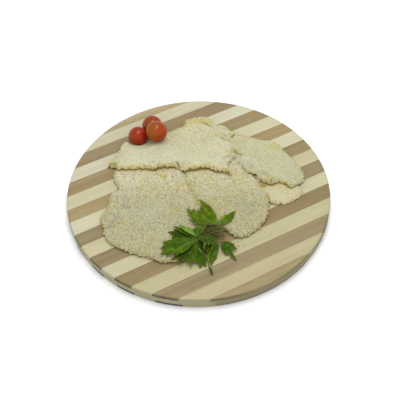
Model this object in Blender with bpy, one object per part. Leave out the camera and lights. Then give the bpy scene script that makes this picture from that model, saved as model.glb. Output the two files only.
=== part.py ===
"""A round striped serving board with breaded chicken cutlets, cherry tomatoes and a sprig of parsley.

Metres, +Z up. The origin is at the centre of the board's underside, and -Y is the side that faces the diner.
Each cutlet is a thin slab draped over what lies under it, so the pile is built from the bottom up.
"""

import math

import bmesh
import bpy
import numpy as np
from mathutils import Matrix, Vector

MM = 0.001

# Driving dimensions, in millimetres.
BOARD_RADIUS = 150.0
BOARD_THICKNESS = 15.0
BOARD_EDGE_ROUNDING = 2.5
BOARD_SEGMENTS = 96
BOARD_EDGE_SEGMENTS = 2

REST_GAP = 0.3  # between a piece and what carries it
DRAPE_GAP = 0.7  # between a draped cutlet and the one it lies on
BEND_RADIUS = 38.0  # tightest curve that a limp cutlet takes over an edge
GRID_STEP = 1.5
GRID_HALF = 132.0

CUTLET_RIM_WIDTH = 6.0  # how far in from its edge a cutlet reaches its full thickness
CUTLET_RIM_HEIGHT = 0.34  # height of the outermost edge, as a share of the thickness
TOP_RINGS = (0.965, 0.9, 0.76, 0.52, 0.26)
BOTTOM_RINGS = (0.95, 0.72, 0.36)
OUTLINE_SAMPLES = 480  # of the smooth outline that distances are measured to

# Each cutlet, bottom of the pile first: its outline seen from above, the spine that its surface is ringed
# round, its thickness, how strongly and in which phase its surface undulates, and how finely it is faceted.
CUTLETS = {
    "cutlet_lower_right": {
        "outline": [
            (118, -11), (114, 3), (104, 15), (92, 24), (76, 27), (62, 21), (54, 6), (54, -10),
            (62, -19), (76, -21), (82, -25), (92, -26), (101, -25), (107, -21), (113, -17),
        ],
        "spine": ((80, 0), (90, 0)),
        "thickness": 5.2,
        "waves": (0.4, 1.3),
        "segments": 36,
    },
    "cutlet_centre": {
        "outline": [
            (47, 44), (54, 31), (58, 22), (66, 14), (71, 7), (73, -4), (77, -14), (79, -25),
            (77, -37), (74, -48), (67, -58), (57, -67), (44, -74), (36, -72), (31, -66), (26, -60),
            (12, -54), (-2, -44), (-14, -28), (-22, -8), (-28, 14), (-27, 34), (-8, 45), (18, 50), (36, 50),
        ],
        "spine": ((22, 0), (34, -22)),
        "thickness": 6.2,
        "waves": (0.7, 0.4),
        "segments": 52,
    },
    "cutlet_left": {
        "outline": [
            (-97, 26), (-96, 14), (-92, 4), (-91, -1), (-97, -5), (-100, -12), (-101, -22), (-106, -32),
            (-109, -42), (-107, -51), (-104, -58), (-103, -67), (-97, -75), (-88, -82), (-77, -88),
            (-65, -93), (-52, -97), (-42, -102), (-30, -103), (-19, -101), (-6, -91), (2, -76), (6, -60),
            (5, -45), (1, -30), (-4, -17), (-7, -7), (-12, 6), (-15, 17), (-20, 27), (-30, 42), (-42, 62),
            (-56, 62), (-72, 50), (-88, 44),
        ],
        "spine": ((-50, -10), (-50, -45)),
        "thickness": 6.4,
        "waves": (0.8, 2.6),
        "segments": 60,
    },
    "cutlet_right": {
        "outline": [
            (50, 83), (64, 78), (76, 73), (87, 71.5), (95, 66), (100, 59), (105, 50), (112, 39),
            (117, 30), (120.5, 20), (121.5, 10), (118.5, 3), (113, -3.5), (108, -7.5), (103, -6.5), (99, -2),
            (95, 0), (91, -1), (87, -4.5), (83, -6), (78, -3), (73, 0), (67, 4), (63.5, 8), (60, 14),
            (55, 23), (49, 32.5), (42, 41.5), (32, 52), (26, 64), (30, 76), (40, 83),
        ],
        "spine": ((70, 46), (88, 28)),
        "thickness": 6.0,
        "waves": (0.6, 4.1),
        "segments": 56,
    },
    "cutlet_back": {
        "outline": [
            (-106, 36), (-100, 45.5), (-94, 56.5), (-88.5, 71), (-84, 71.5), (-78, 68), (-70, 65.5), (-62, 67),
            (-50, 79), (-42, 85.5), (-35, 89.5), (-22, 95.5), (-16, 99), (-12.5, 109), (-5, 113.5),
            (4, 115.5),
            (12, 114.5), (17.5, 110.5), (20, 104), (25, 100.5), (34, 98), (41, 89.5), (44.5, 83), (40, 74.5),
            (42, 64.5), (46.5, 54.5), (50.5, 45), (50, 42), (44, 43), (39, 36.5), (35, 30), (34, 24.5),
            (35.5, 19), (38, 14.5), (31, 19), (21, 19.5), (10, 23.5), (2.5, 22), (-4.5, 21.5), (-11.5, 18),
            (-19, 16), (-27, 21.5), (-35, 21.5), (-45, 23), (-51, 21.5), (-57, 24), (-70, 25), (-84, 26),
            (-94, 26.5), (-98, 29),
        ],
        "spine": ((-66, 44), (10, 58)),
        "thickness": 6.4,
        "waves": (0.8, 5.3),
        "segments": 76,
    },
}

# Each tomato: radius, centre over the board, height of its lowest point over the board, and lean.
TOMATOES = {
    "tomato_red": {"radius": 11.6, "centre": (-70.3, 77.5), "foot": REST_GAP, "lean_deg": 155},
    "tomato_back": {"radius": 12.0, "centre": (-53.9, 95.2), "foot": REST_GAP, "lean_deg": 200},
    "tomato_orange": {"radius": 12.6, "centre": (-47.5, 72.6), "foot": 11.9, "lean_deg": 170},
}
TOMATO_SQUASH = 0.97
TOMATO_DIMPLE_DEPTH = 1.4
TOMATO_DIMPLE_RADIUS = 4.0
TOMATO_SEGMENTS = 20
TOMATO_RINGS = 12

STEM_RADIUS = 0.95
STEM_SIDES = 6
LEAF_THICKNESS = 0.9
LEAF_CLEARANCE = 0.9  # least height of a leaf's middle surface over what it lies on

# Stems of the parsley, each through points over the board (x, y, height).
STEMS = [
    [(29.5, -66.5, 9.2), (24.5, -63.3, 9.6), (20.5, -61, 9.9), (13, -60.8, 11.4), (7.5, -62.5, 12.8)],
    [(27.5, -65.5, 9.4), (15.5, -70.5, 10.2), (6, -73.5, 10.5), (-3.5, -76, 9.6)],
    [(28.5, -66.5, 9.0), (15.5, -73.5, 9.0), (10.5, -77, 8.8), (8, -79.5, 8.5)],
    [(27, -66, 9.0), (26, -73.5, 7.2), (23, -80.3, 5.4), (17.5, -79.5, 5.6)],
    [(-3.5, -76, 9.6), (-4.5, -80, 9.2), (-5, -84, 8.6), (-2, -88.5, 7.9), (4, -97, 4.6), (8.5, -103.5, 2.4)],
]

# Leaflets of the parsley: each is a fan of pointed lobes, from its base on a stem to its tips in order.
LEAFLETS = [
    [(7.5, -62.5, 12.8), (-11.5, -56.5, 13.4), (-12, -48.5, 14.6), (-13, -40.5, 15.5), (-6, -41.5, 15.8),
     (-0.5, -42.5, 15.9)],
    [(19, -60.7, 10.2), (2.5, -43, 16), (2, -35, 16), (0.5, -28.5, 16.1), (8, -33.5, 14.8), (15, -40, 13.3),
     (19, -49.5, 11.9)],
    [(21, -61.2, 9.9), (24.5, -45.5, 10), (30, -43, 10), (42, -39, 10.2), (36, -55.5, 9.8)],
    [(-3, -75.8, 9.7), (-6.5, -66, 11.2), (-1, -62.5, 12.6), (8, -62.5, 12.3)],
    [(-3.5, -76, 9.6), (-28, -61, 9.8), (-20.5, -60, 11.3), (-13.5, -63.5, 11.1)],
    [(-4, -78, 9.4), (-30, -76, 8.1), (-34, -66.5, 8.5), (-27.5, -63, 8.0)],
    [(-4.5, -80, 9.2), (-39, -81.5, 9.3), (-41.5, -90, 9.4), (-42, -98, 9.3), (-35.5, -100, 9.2)],
    [(-4.8, -82, 8.9), (-30.5, -98.5, 10.1), (-25.5, -100.5, 10), (-20, -97.5, 10)],
    [(-5, -84, 8.6), (-30, -103.5, 7.1), (-22, -107, 6.3), (-14, -105, 6.2)],
    [(-4, -85.5, 8.4), (-13, -106.5, 5.7), (-10.5, -111, 4), (-6, -105.5, 4.7)],
    [(-2, -88.5, 7.9), (-4, -105.5, 4.4), (0, -111.5, 1.6), (6.5, -109.5, 1.6), (8, -101, 2.4)],
    [(18.5, -79.6, 5.6), (7.5, -97, 3), (9, -103.5, 1.8), (11.5, -108.5, 1.6), (17, -100, 1.6),
     (20, -88, 1.8)],
    [(8, -79.5, 8.5), (4, -92.5, 7.3), (8, -94.5, 5.5), (13.5, -89.5, 4.6), (15.5, -82, 5.8)],
    [(8, -102.8, 2.6), (12.5, -122, 1.4)],
    [(22.5, -80.2, 5.4), (28, -95.5, 1.8), (38.5, -102.5, 1.6), (40, -88.5, 3), (37, -83, 5)],
]
LEAF_NOTCH = 0.74  # how far out the notch between two lobes reaches, as a share of the lobes
LEAF_SHOULDER = 0.5  # where the outer lobes are widest, as a share of their length
LEAF_SHOULDER_WIDTH = 0.13  # and how far they bulge there


def clear_scene():
    for item in list(bpy.data.objects):
        bpy.data.objects.remove(item)


def material(name, colour, roughness):
    made = bpy.data.materials.new(name)
    made.use_nodes = True
    shader = made.node_tree.nodes["Principled BSDF"]
    shader.inputs["Base Color"].default_value = (*colour, 1.0)
    shader.inputs["Roughness"].default_value = roughness
    return made


def add_object(name, mesh_builder, finish):
    """Turns a bmesh in millimetres into a named, smooth-shaded object in metres."""
    bmesh.ops.scale(mesh_builder, vec=(MM, MM, MM), verts=mesh_builder.verts)
    bmesh.ops.recalc_face_normals(mesh_builder, faces=mesh_builder.faces)
    mesh = bpy.data.meshes.new(name)
    mesh_builder.to_mesh(mesh)
    mesh_builder.free()
    mesh.shade_smooth()
    mesh.materials.append(finish)
    made = bpy.data.objects.new(name, mesh)
    bpy.context.scene.collection.objects.link(made)
    return made


def smooth_loop(corners, count):
    """Evenly spaced points on the closed Catmull-Rom curve through the corners."""
    corners = np.array(corners, float)
    fine = []
    steps = np.linspace(0, 1, 24, endpoint=False)[:, None]
    for i in range(len(corners)):
        before, start, end, after = (corners[(i + k) % len(corners)] for k in (-1, 0, 1, 2))
        fine.append(
            0.5
            * (
                2 * start
                + (end - before) * steps
                + (2 * before - 5 * start + 4 * end - after) * steps**2
                + (3 * start - before - 3 * end + after) * steps**3
            )
        )
    fine = np.concatenate(fine)
    closed = np.vstack([fine, fine[:1]])
    along = np.concatenate([[0], np.cumsum(np.linalg.norm(np.diff(closed, axis=0), axis=1))])
    wanted = np.linspace(0, along[-1], count, endpoint=False)
    return np.column_stack([np.interp(wanted, along, closed[:, k]) for k in (0, 1)])


class Pile:
    """Heights over the board of everything laid on it so far, on a square grid seen from above."""

    def __init__(self):
        ticks = np.arange(-GRID_HALF, GRID_HALF + GRID_STEP / 2, GRID_STEP)
        self.x, self.y = np.meshgrid(ticks, ticks)
        self.height = np.zeros_like(self.x)

    def draped(self, gap):
        """The underside of a limp sheet laid on the pile: it bends over edges no tighter than BEND_RADIUS."""
        sheet = self.height.copy()
        reach = int(math.sqrt(2 * BEND_RADIUS * self.height.max()) / GRID_STEP) + 1
        padded = np.pad(self.height, reach)
        rows, columns = self.height.shape
        for i in range(-reach, reach + 1):
            for j in range(-reach, reach + 1):
                drop = (i * i + j * j) * GRID_STEP**2 / (2 * BEND_RADIUS)
                moved = padded[reach + i : reach + i + rows, reach + j : reach + j + columns]
                sheet = np.maximum(sheet, moved - drop)
        return np.where(sheet > 0.05, sheet + gap, REST_GAP)

    def sample(self, field, points):
        """Bilinear value of a field at points (x, y)."""
        spot = (np.asarray(points, float) + GRID_HALF) / GRID_STEP
        low = np.clip(np.floor(spot).astype(int), 0, field.shape[0] - 2)
        share = spot - low
        i, j = low[:, 1], low[:, 0]
        u, v = share[:, 0], share[:, 1]
        near = field[i, j] * (1 - u) + field[i, j + 1] * u
        far = field[i + 1, j] * (1 - u) + field[i + 1, j + 1] * u
        return near * (1 - v) + far * v


def distance_inside(points, outline):
    """Distance from each point to the outline, and whether the point is within it."""
    px, py = points[:, 0, None], points[:, 1, None]
    x, y = outline[:, 0], outline[:, 1]
    ahead = np.roll(outline, -1, axis=0)
    distance = np.sqrt(((px - x) ** 2 + (py - y) ** 2).min(axis=1))
    straddles = (y > py) != (ahead[:, 1] > py)
    rise = np.where(ahead[:, 1] == y, 1.0, ahead[:, 1] - y)
    crossing = x + (py - y) * (ahead[:, 0] - x) / rise
    inside = (straddles & (px < crossing)).sum(axis=1) % 2 == 1
    return distance, inside


def nearest_on_spine(points, spine):
    start, end = np.array(spine, float)
    along = end - start
    share = np.clip((points - start) @ along / (along @ along), 0, 1)
    return start + share[:, None] * along


def undulation(points, phase):
    """Slow rise and fall of the meat's surface, from -1 to 1."""
    x, y = points[:, 0], points[:, 1]
    broad = np.sin(x / 13.0 + phase) * np.cos(y / 15.0 - 1.7 * phase)
    fine = np.sin((x + y) / 8.0 + 2.3 * phase) * np.cos((x - y) / 9.0)
    return 0.65 * broad + 0.35 * fine


def cutlet_thickness(points, distance, facts):
    """Thickness at points a distance within the outline: full in the middle, rounded down to the rim."""
    strength, phase = facts["waves"]
    full = facts["thickness"] + strength * undulation(points, phase)
    inset = np.clip(distance / CUTLET_RIM_WIDTH, 0, 1)
    rise = np.sqrt(1 - (1 - inset) ** 2)
    return full * (CUTLET_RIM_HEIGHT + (1 - CUTLET_RIM_HEIGHT) * rise)


def build_cutlet(name, facts, pile, finish):
    """A slab made of rings round its spine, from the rim inwards over the top and again underneath."""
    outline = smooth_loop(facts["outline"], OUTLINE_SAMPLES)
    rim = smooth_loop(facts["outline"], facts["segments"])
    spine = nearest_on_spine(rim, facts["spine"])
    under = pile.draped(DRAPE_GAP)
    shape = bmesh.new()

    def add_ring(scale, is_top):
        points = spine + (rim - spine) * scale
        heights = BOARD_THICKNESS + pile.sample(under, points)
        if is_top:
            distance = distance_inside(points, outline)[0] if scale < 1 else np.zeros(len(points))
            heights += cutlet_thickness(points, distance, facts)
        return [shape.verts.new((x, y, z)) for (x, y), z in zip(points, heights)]

    edge = add_ring(1.0, True)
    for scales, is_top in ((TOP_RINGS, True), (BOTTOM_RINGS, False)):
        outer = edge
        for scale in scales:
            inner = add_ring(scale, is_top)
            for i in range(len(rim)):
                j = (i + 1) % len(rim)
                shape.faces.new((outer[i], outer[j], inner[j], inner[i]))
            outer = inner
        shape.faces.new(outer)
    bmesh.ops.triangulate(shape, faces=[face for face in shape.faces if len(face.verts) > 4])
    made = add_object(name, shape, finish)

    flat = np.column_stack([pile.x.ravel(), pile.y.ravel()])
    distance, inside = distance_inside(flat, outline)
    top = under.ravel() + cutlet_thickness(flat, np.where(inside, distance, 0), facts)
    covered = inside | (distance < GRID_STEP)
    pile.height = np.maximum(pile.height, np.where(covered, top, 0).reshape(pile.height.shape))
    return made


def build_board(finish):
    """A turned disc. The Bevel modifier rounds its upper and lower edges."""
    disc = bmesh.new()
    bmesh.ops.create_cone(
        disc,
        cap_ends=True,
        segments=BOARD_SEGMENTS,
        radius1=BOARD_RADIUS,
        radius2=BOARD_RADIUS,
        depth=BOARD_THICKNESS,
        matrix=Matrix.Translation((0, 0, BOARD_THICKNESS / 2)),
    )
    board = add_object("board", disc, finish)
    bevel = board.modifiers.new("rounded edges", "BEVEL")
    bevel.width = BOARD_EDGE_ROUNDING * MM
    bevel.segments = BOARD_EDGE_SEGMENTS
    bevel.limit_method = "ANGLE"
    bevel.angle_limit = math.radians(60)
    board.data.set_sharp_from_angle(angle=math.radians(50))
    return board


def build_tomato(name, facts, finish):
    """A slightly squashed ball with a dimple at its stem end."""
    radius = facts["radius"]
    ball = bmesh.new()
    bmesh.ops.create_uvsphere(ball, u_segments=TOMATO_SEGMENTS, v_segments=TOMATO_RINGS, radius=radius)
    for vert in ball.verts:
        across = math.hypot(vert.co.x, vert.co.y)
        if vert.co.z > 0:
            vert.co.z -= TOMATO_DIMPLE_DEPTH * math.exp(-((across / TOMATO_DIMPLE_RADIUS) ** 2))
        vert.co.z *= TOMATO_SQUASH
    bmesh.ops.rotate(ball, verts=ball.verts, matrix=Matrix.Rotation(math.radians(facts["lean_deg"]), 3, "X"))
    lowest = min(vert.co.z for vert in ball.verts)
    bmesh.ops.translate(ball, verts=ball.verts, vec=(0, 0, -lowest))
    tomato = add_object(name, ball, finish)
    tomato.location = Vector((*facts["centre"], BOARD_THICKNESS + facts["foot"])) * MM
    return tomato


def tube(points, radius, sides):
    """A closed round bar through the points, in millimetres."""
    bar = bmesh.new()
    points = [Vector(p) for p in points]
    rings = []
    for i, here in enumerate(points):
        along = (points[min(i + 1, len(points) - 1)] - points[max(i - 1, 0)]).normalized()
        across = along.cross(Vector((0, 0, 1))).normalized()
        up = across.cross(along)
        turns = (2 * math.pi * k / sides for k in range(sides))
        spokes = (radius * (math.cos(turn) * across + math.sin(turn) * up) for turn in turns)
        rings.append([bar.verts.new(here + spoke) for spoke in spokes])
    for first, second in zip(rings, rings[1:]):
        for k in range(sides):
            following = (k + 1) % sides
            bar.faces.new((first[k], first[following], second[following], second[k]))
    bar.faces.new(rings[0])
    bar.faces.new(rings[-1])
    return bar


def leaflet_outline(base, tips):
    """Corners of a fan of lobes, from its base round its tips: shoulder, tip, notch, tip, ..., shoulder."""
    clockwise = (tips[0] - base).cross(tips[-1] - base).z < 0
    outward = Vector((0, 0, 1 if clockwise else -1))

    def shoulder(tip, side):
        reach = tip - base
        return base + reach * LEAF_SHOULDER + (side * outward).cross(reach) * LEAF_SHOULDER_WIDTH

    corners = [shoulder(tips[0], 1)]
    for here, following in zip(tips, tips[1:]):
        corners += [here, base.lerp((here + following) / 2, LEAF_NOTCH)]
    corners += [tips[-1], shoulder(tips[-1], -1)]
    return corners


def leaflet(places, lowest):
    """A thin plate in the shape of a leaflet. lowest(x, y) is the least height that a point may have."""
    base, *tips = (Vector(place) for place in places)
    corners = leaflet_outline(base, tips)
    blade = bmesh.new()

    def layer(offset):
        def vertex(place):
            height = max(place.z, lowest(place.x, place.y))
            return blade.verts.new((place.x, place.y, BOARD_THICKNESS + height + offset))

        return vertex(base), [vertex(base.lerp(c, 0.5)) for c in corners], [vertex(c) for c in corners]

    upper, lower = layer(LEAF_THICKNESS / 2), layer(-LEAF_THICKNESS / 2)
    for hub, inner, outer in (upper, lower):
        for i in range(len(corners) - 1):
            blade.faces.new((hub, inner[i], inner[i + 1]))
            blade.faces.new((inner[i], outer[i], outer[i + 1]))
            blade.faces.new((inner[i], outer[i + 1], inner[i + 1]))
    rims = [[hub, inner[0], *outer, inner[-1]] for hub, inner, outer in (upper, lower)]
    for i in range(len(rims[0])):
        j = (i + 1) % len(rims[0])
        blade.faces.new((rims[0][i], rims[0][j], rims[1][j], rims[1][i]))
    return blade


def build_parsley(pile, finish):
    """Stems and leaflets, joined into one solid by Boolean unions."""
    cover = pile.draped(0.0)

    def lowest(x, y):
        return float(pile.sample(cover, [(x, y)])[0]) + LEAF_CLEARANCE

    def settled(points):
        return [(x, y, BOARD_THICKNESS + max(z, lowest(x, y) + STEM_RADIUS)) for x, y, z in points]

    first, *rest = STEMS
    sprig = add_object("parsley", tube(settled(first), STEM_RADIUS, STEM_SIDES), finish)
    pieces = [tube(settled(points), STEM_RADIUS, STEM_SIDES) for points in rest]
    pieces += [leaflet(places, lowest) for places in LEAFLETS]
    for number, shape in enumerate(pieces):
        piece = add_object(f"parsley_piece_{number}", shape, finish)
        piece.hide_render = True
        piece.display_type = "WIRE"
        union = sprig.modifiers.new(f"union {number}", "BOOLEAN")
        union.operation = "UNION"
        union.object = piece
    return sprig


def main():
    clear_scene()
    bamboo = material("striped bamboo", (0.52, 0.42, 0.26), 0.55)
    crumb = material("breadcrumb coating", (0.62, 0.56, 0.36), 0.9)
    red = material("red tomato skin", (0.50, 0.03, 0.015), 0.25)
    orange = material("orange tomato skin", (0.55, 0.11, 0.015), 0.25)
    leaf = material("parsley leaf", (0.06, 0.16, 0.02), 0.5)

    build_board(bamboo)
    pile = Pile()
    for name, facts in CUTLETS.items():
        build_cutlet(name, facts, pile, crumb)
    for name, facts in TOMATOES.items():
        build_tomato(name, facts, red if name == "tomato_red" else orange)
    build_parsley(pile, leaf)


main()
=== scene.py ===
"""Breaded chicken cutlets on a round striped board, with three small tomatoes and a sprig of parsley.

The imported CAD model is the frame. Each of its nodes is replaced here by a finer mesh of the same size in the
same place, with a procedural material. Lengths are in millimetres until a mesh is made, angles in degrees.
"""
import math

import bmesh
import bpy
import numpy as np
from mathutils import Matrix, Vector
from mathutils.bvhtree import BVHTree
from mathutils.geometry import delaunay_2d_cdt
from mathutils.kdtree import KDTree


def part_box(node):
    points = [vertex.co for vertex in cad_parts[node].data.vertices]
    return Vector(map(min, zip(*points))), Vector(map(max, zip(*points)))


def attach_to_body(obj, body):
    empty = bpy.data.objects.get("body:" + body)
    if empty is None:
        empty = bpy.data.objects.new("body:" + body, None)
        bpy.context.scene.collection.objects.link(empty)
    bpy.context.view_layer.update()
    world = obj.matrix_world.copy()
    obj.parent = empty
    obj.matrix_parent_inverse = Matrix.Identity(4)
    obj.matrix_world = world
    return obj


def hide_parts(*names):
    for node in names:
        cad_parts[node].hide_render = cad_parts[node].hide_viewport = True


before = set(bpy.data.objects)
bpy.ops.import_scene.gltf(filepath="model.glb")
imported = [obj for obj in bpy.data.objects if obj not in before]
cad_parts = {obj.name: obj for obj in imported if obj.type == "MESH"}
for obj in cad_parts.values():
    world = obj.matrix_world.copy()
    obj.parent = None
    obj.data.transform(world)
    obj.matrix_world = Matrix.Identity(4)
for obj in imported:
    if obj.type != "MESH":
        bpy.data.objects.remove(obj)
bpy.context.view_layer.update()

MM = 0.001
UP, DOWN = Vector((0, 0, 1)), Vector((0, 0, -1))
OVERHEAD = 200.0  # a height above everything, to look down from

# ---- Camera, as fitted to the photograph: its place and how far it looks down and leans ----
CAMERA_PLACE = (1.655, -613.48, 711.81)
CAMERA_DOWN = 49.37
CAMERA_LEAN = -1.473
SENSOR_WIDTH = 36.0
CAMERA_LENS = 73.095
CAMERA_SEES = (0.01, 30.0)  # from how near to how far, in metres

# ---- Light ----
KEY_PLACE = (45.0, 150.0, 890.0)
KEY_SIZE = (340.0, 720.0)
KEY_POWER = 3.3
KEY_COLOUR = (1.0, 0.985, 0.95)
SKY_COLOUR = (0.97, 0.985, 1.0, 1.0)
SKY_TOP = 1.08
SKY_SIDE = 0.8
SKY_FRONT = 0.3  # how much brighter the sky is in front than overhead, and how much dimmer behind
LIGHT_LEVEL = 1.2  # how bright this light makes a level white surface, so seen colours are divided by it
FLOOR_HALF = 12000.0
FLOOR_WHITE = 0.96

# ---- Board: strips of two woods glued side by side, in three plies ----
BOARD_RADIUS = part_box("board")[1].x / MM
BOARD_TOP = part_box("board")[1].z / MM
BOARD_SIDES = 288
BOARD_EDGE_ROUNDING = 2.2
ROUNDING_PLACES = 6
FACE_INSET = 12.0  # how far inside the edge the flat faces end in a ring
STRIP_TURN = 27.5
SEAM_WIDTH = 0.35
SEAM_DEPTH = 0.08
RIM_BAND = (1.2, 0.2)  # the side's look begins and is full this far inside the edge
RIM_LEAST_DEPTH = 0.8  # and only shows this far below the top
PLY_TOPS = (4.4, 10.8)
LOW_PLY_SHIFT = 2.3  # how far the bottom ply's strips are from the top ply's
STRIP_REACH = 150.0  # how far from the middle the strips' colours are laid out
RIM_TURNS = -62.0  # left of this place along the strips the rim's painted shade is as dark as it gets
# How far each seam is from the board's middle, and the strips' colours, both from its front to its back; the
# front strips are a little darker, partly the woods' own tone and partly painted shade.
SEAMS = [-137.5, -121.5, -102.5, -84, -65, -47, -28.5, -10, 8, 26.5, 44.5, 63, 81.5, 99, 117.5, 135.5]
STRIPS = [(162, 149, 108), (187, 177, 136), (152, 138, 102), (188, 180, 138), (146, 130, 90), (198, 192, 156),
          (146, 132, 98), (196, 188, 148), (148, 134, 96), (204, 199, 166), (168, 150, 106), (200, 194, 158),
          (158, 142, 102), (204, 199, 172), (150, 134, 100), (200, 194, 162), (178, 162, 124)]

# ---- Cutlets: the coating's raised, sunken and coloured places, over what the CAD nodes give ----
VOXEL = 0.7
OUTLINE_STEP = 0.35
FRINGE_STEP = 1.3
EDGE_GAP = 0.15  # left under a cutlet's edge
EDGE_FOOT = 2.5  # how far inside its edge a cutlet rests on what lies below
EDGE_REACH = 14.0  # how far in the edge gives way
EDGE_SMOOTHING = 4.0
SETTLE_REACH = 9.0  # how far in a merging edge slopes down
FULL_THICKNESS = 6.2
CAD_EDGE = (0.34, 6.0)  # the share of the thickness left at the edge, and how far in it is full
UPRIGHT_EDGE = (0.66, 2.6)
EDGE_BROWN_SHADE = 0.85  # how brown and dark an edge's steep, downward side is painted, as painted shade
FINE_CREASE = 3.0  # a crease narrower than this also gets the brown painted shade
FRONT_DARKENING_FROM, FRONT_DARKENING_TO = 18.0, -32.0  # two cutlets' coating grows darker towards the front between these distances from the middle
FRONT_DARKENING_TINT = (0.785, 0.79, 0.725)
FRONT_DARKENING_SEED = 91
COARSE_CELL, FINE_CELL = 1.15, 0.65
# The coating's soft patches: a noise's size and detail, where it starts and is full, its strength and colour.
CRUMB_PATCHES = [(11.0, 2.0, 0.52, 0.72, 0.5, (214, 198, 134)), (7.0, 3.0, 0.45, 0.7, 0.8, (214, 208, 174)),
                 (3.0, 3.0, 0.5, 0.75, 0.7, (188, 182, 146))]
# Its specks: which random cells they are, where those start and are full, their strength and colour.
CRUMB_SPECKS = [("coarse", 0.78, 0.84, 0.35, (234, 231, 208)), ("coarse", 0.2, 0.13, 0.5, (150, 140, 104)),
                ("fine", 0.12, 0.06, 0.6, (110, 98, 70)), ("fine", 0.9, 0.95, 0.5, (240, 237, 216))]


def cutlet(**own):
    """What a cutlet has of its own, over what a plain one has."""
    marks = {key: [] for key in ("crusts", "creases", "stains", "settles", "pulls", "lifts")}
    return {"browned": 0.0, "upright": 0.0, **marks, **own}
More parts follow.
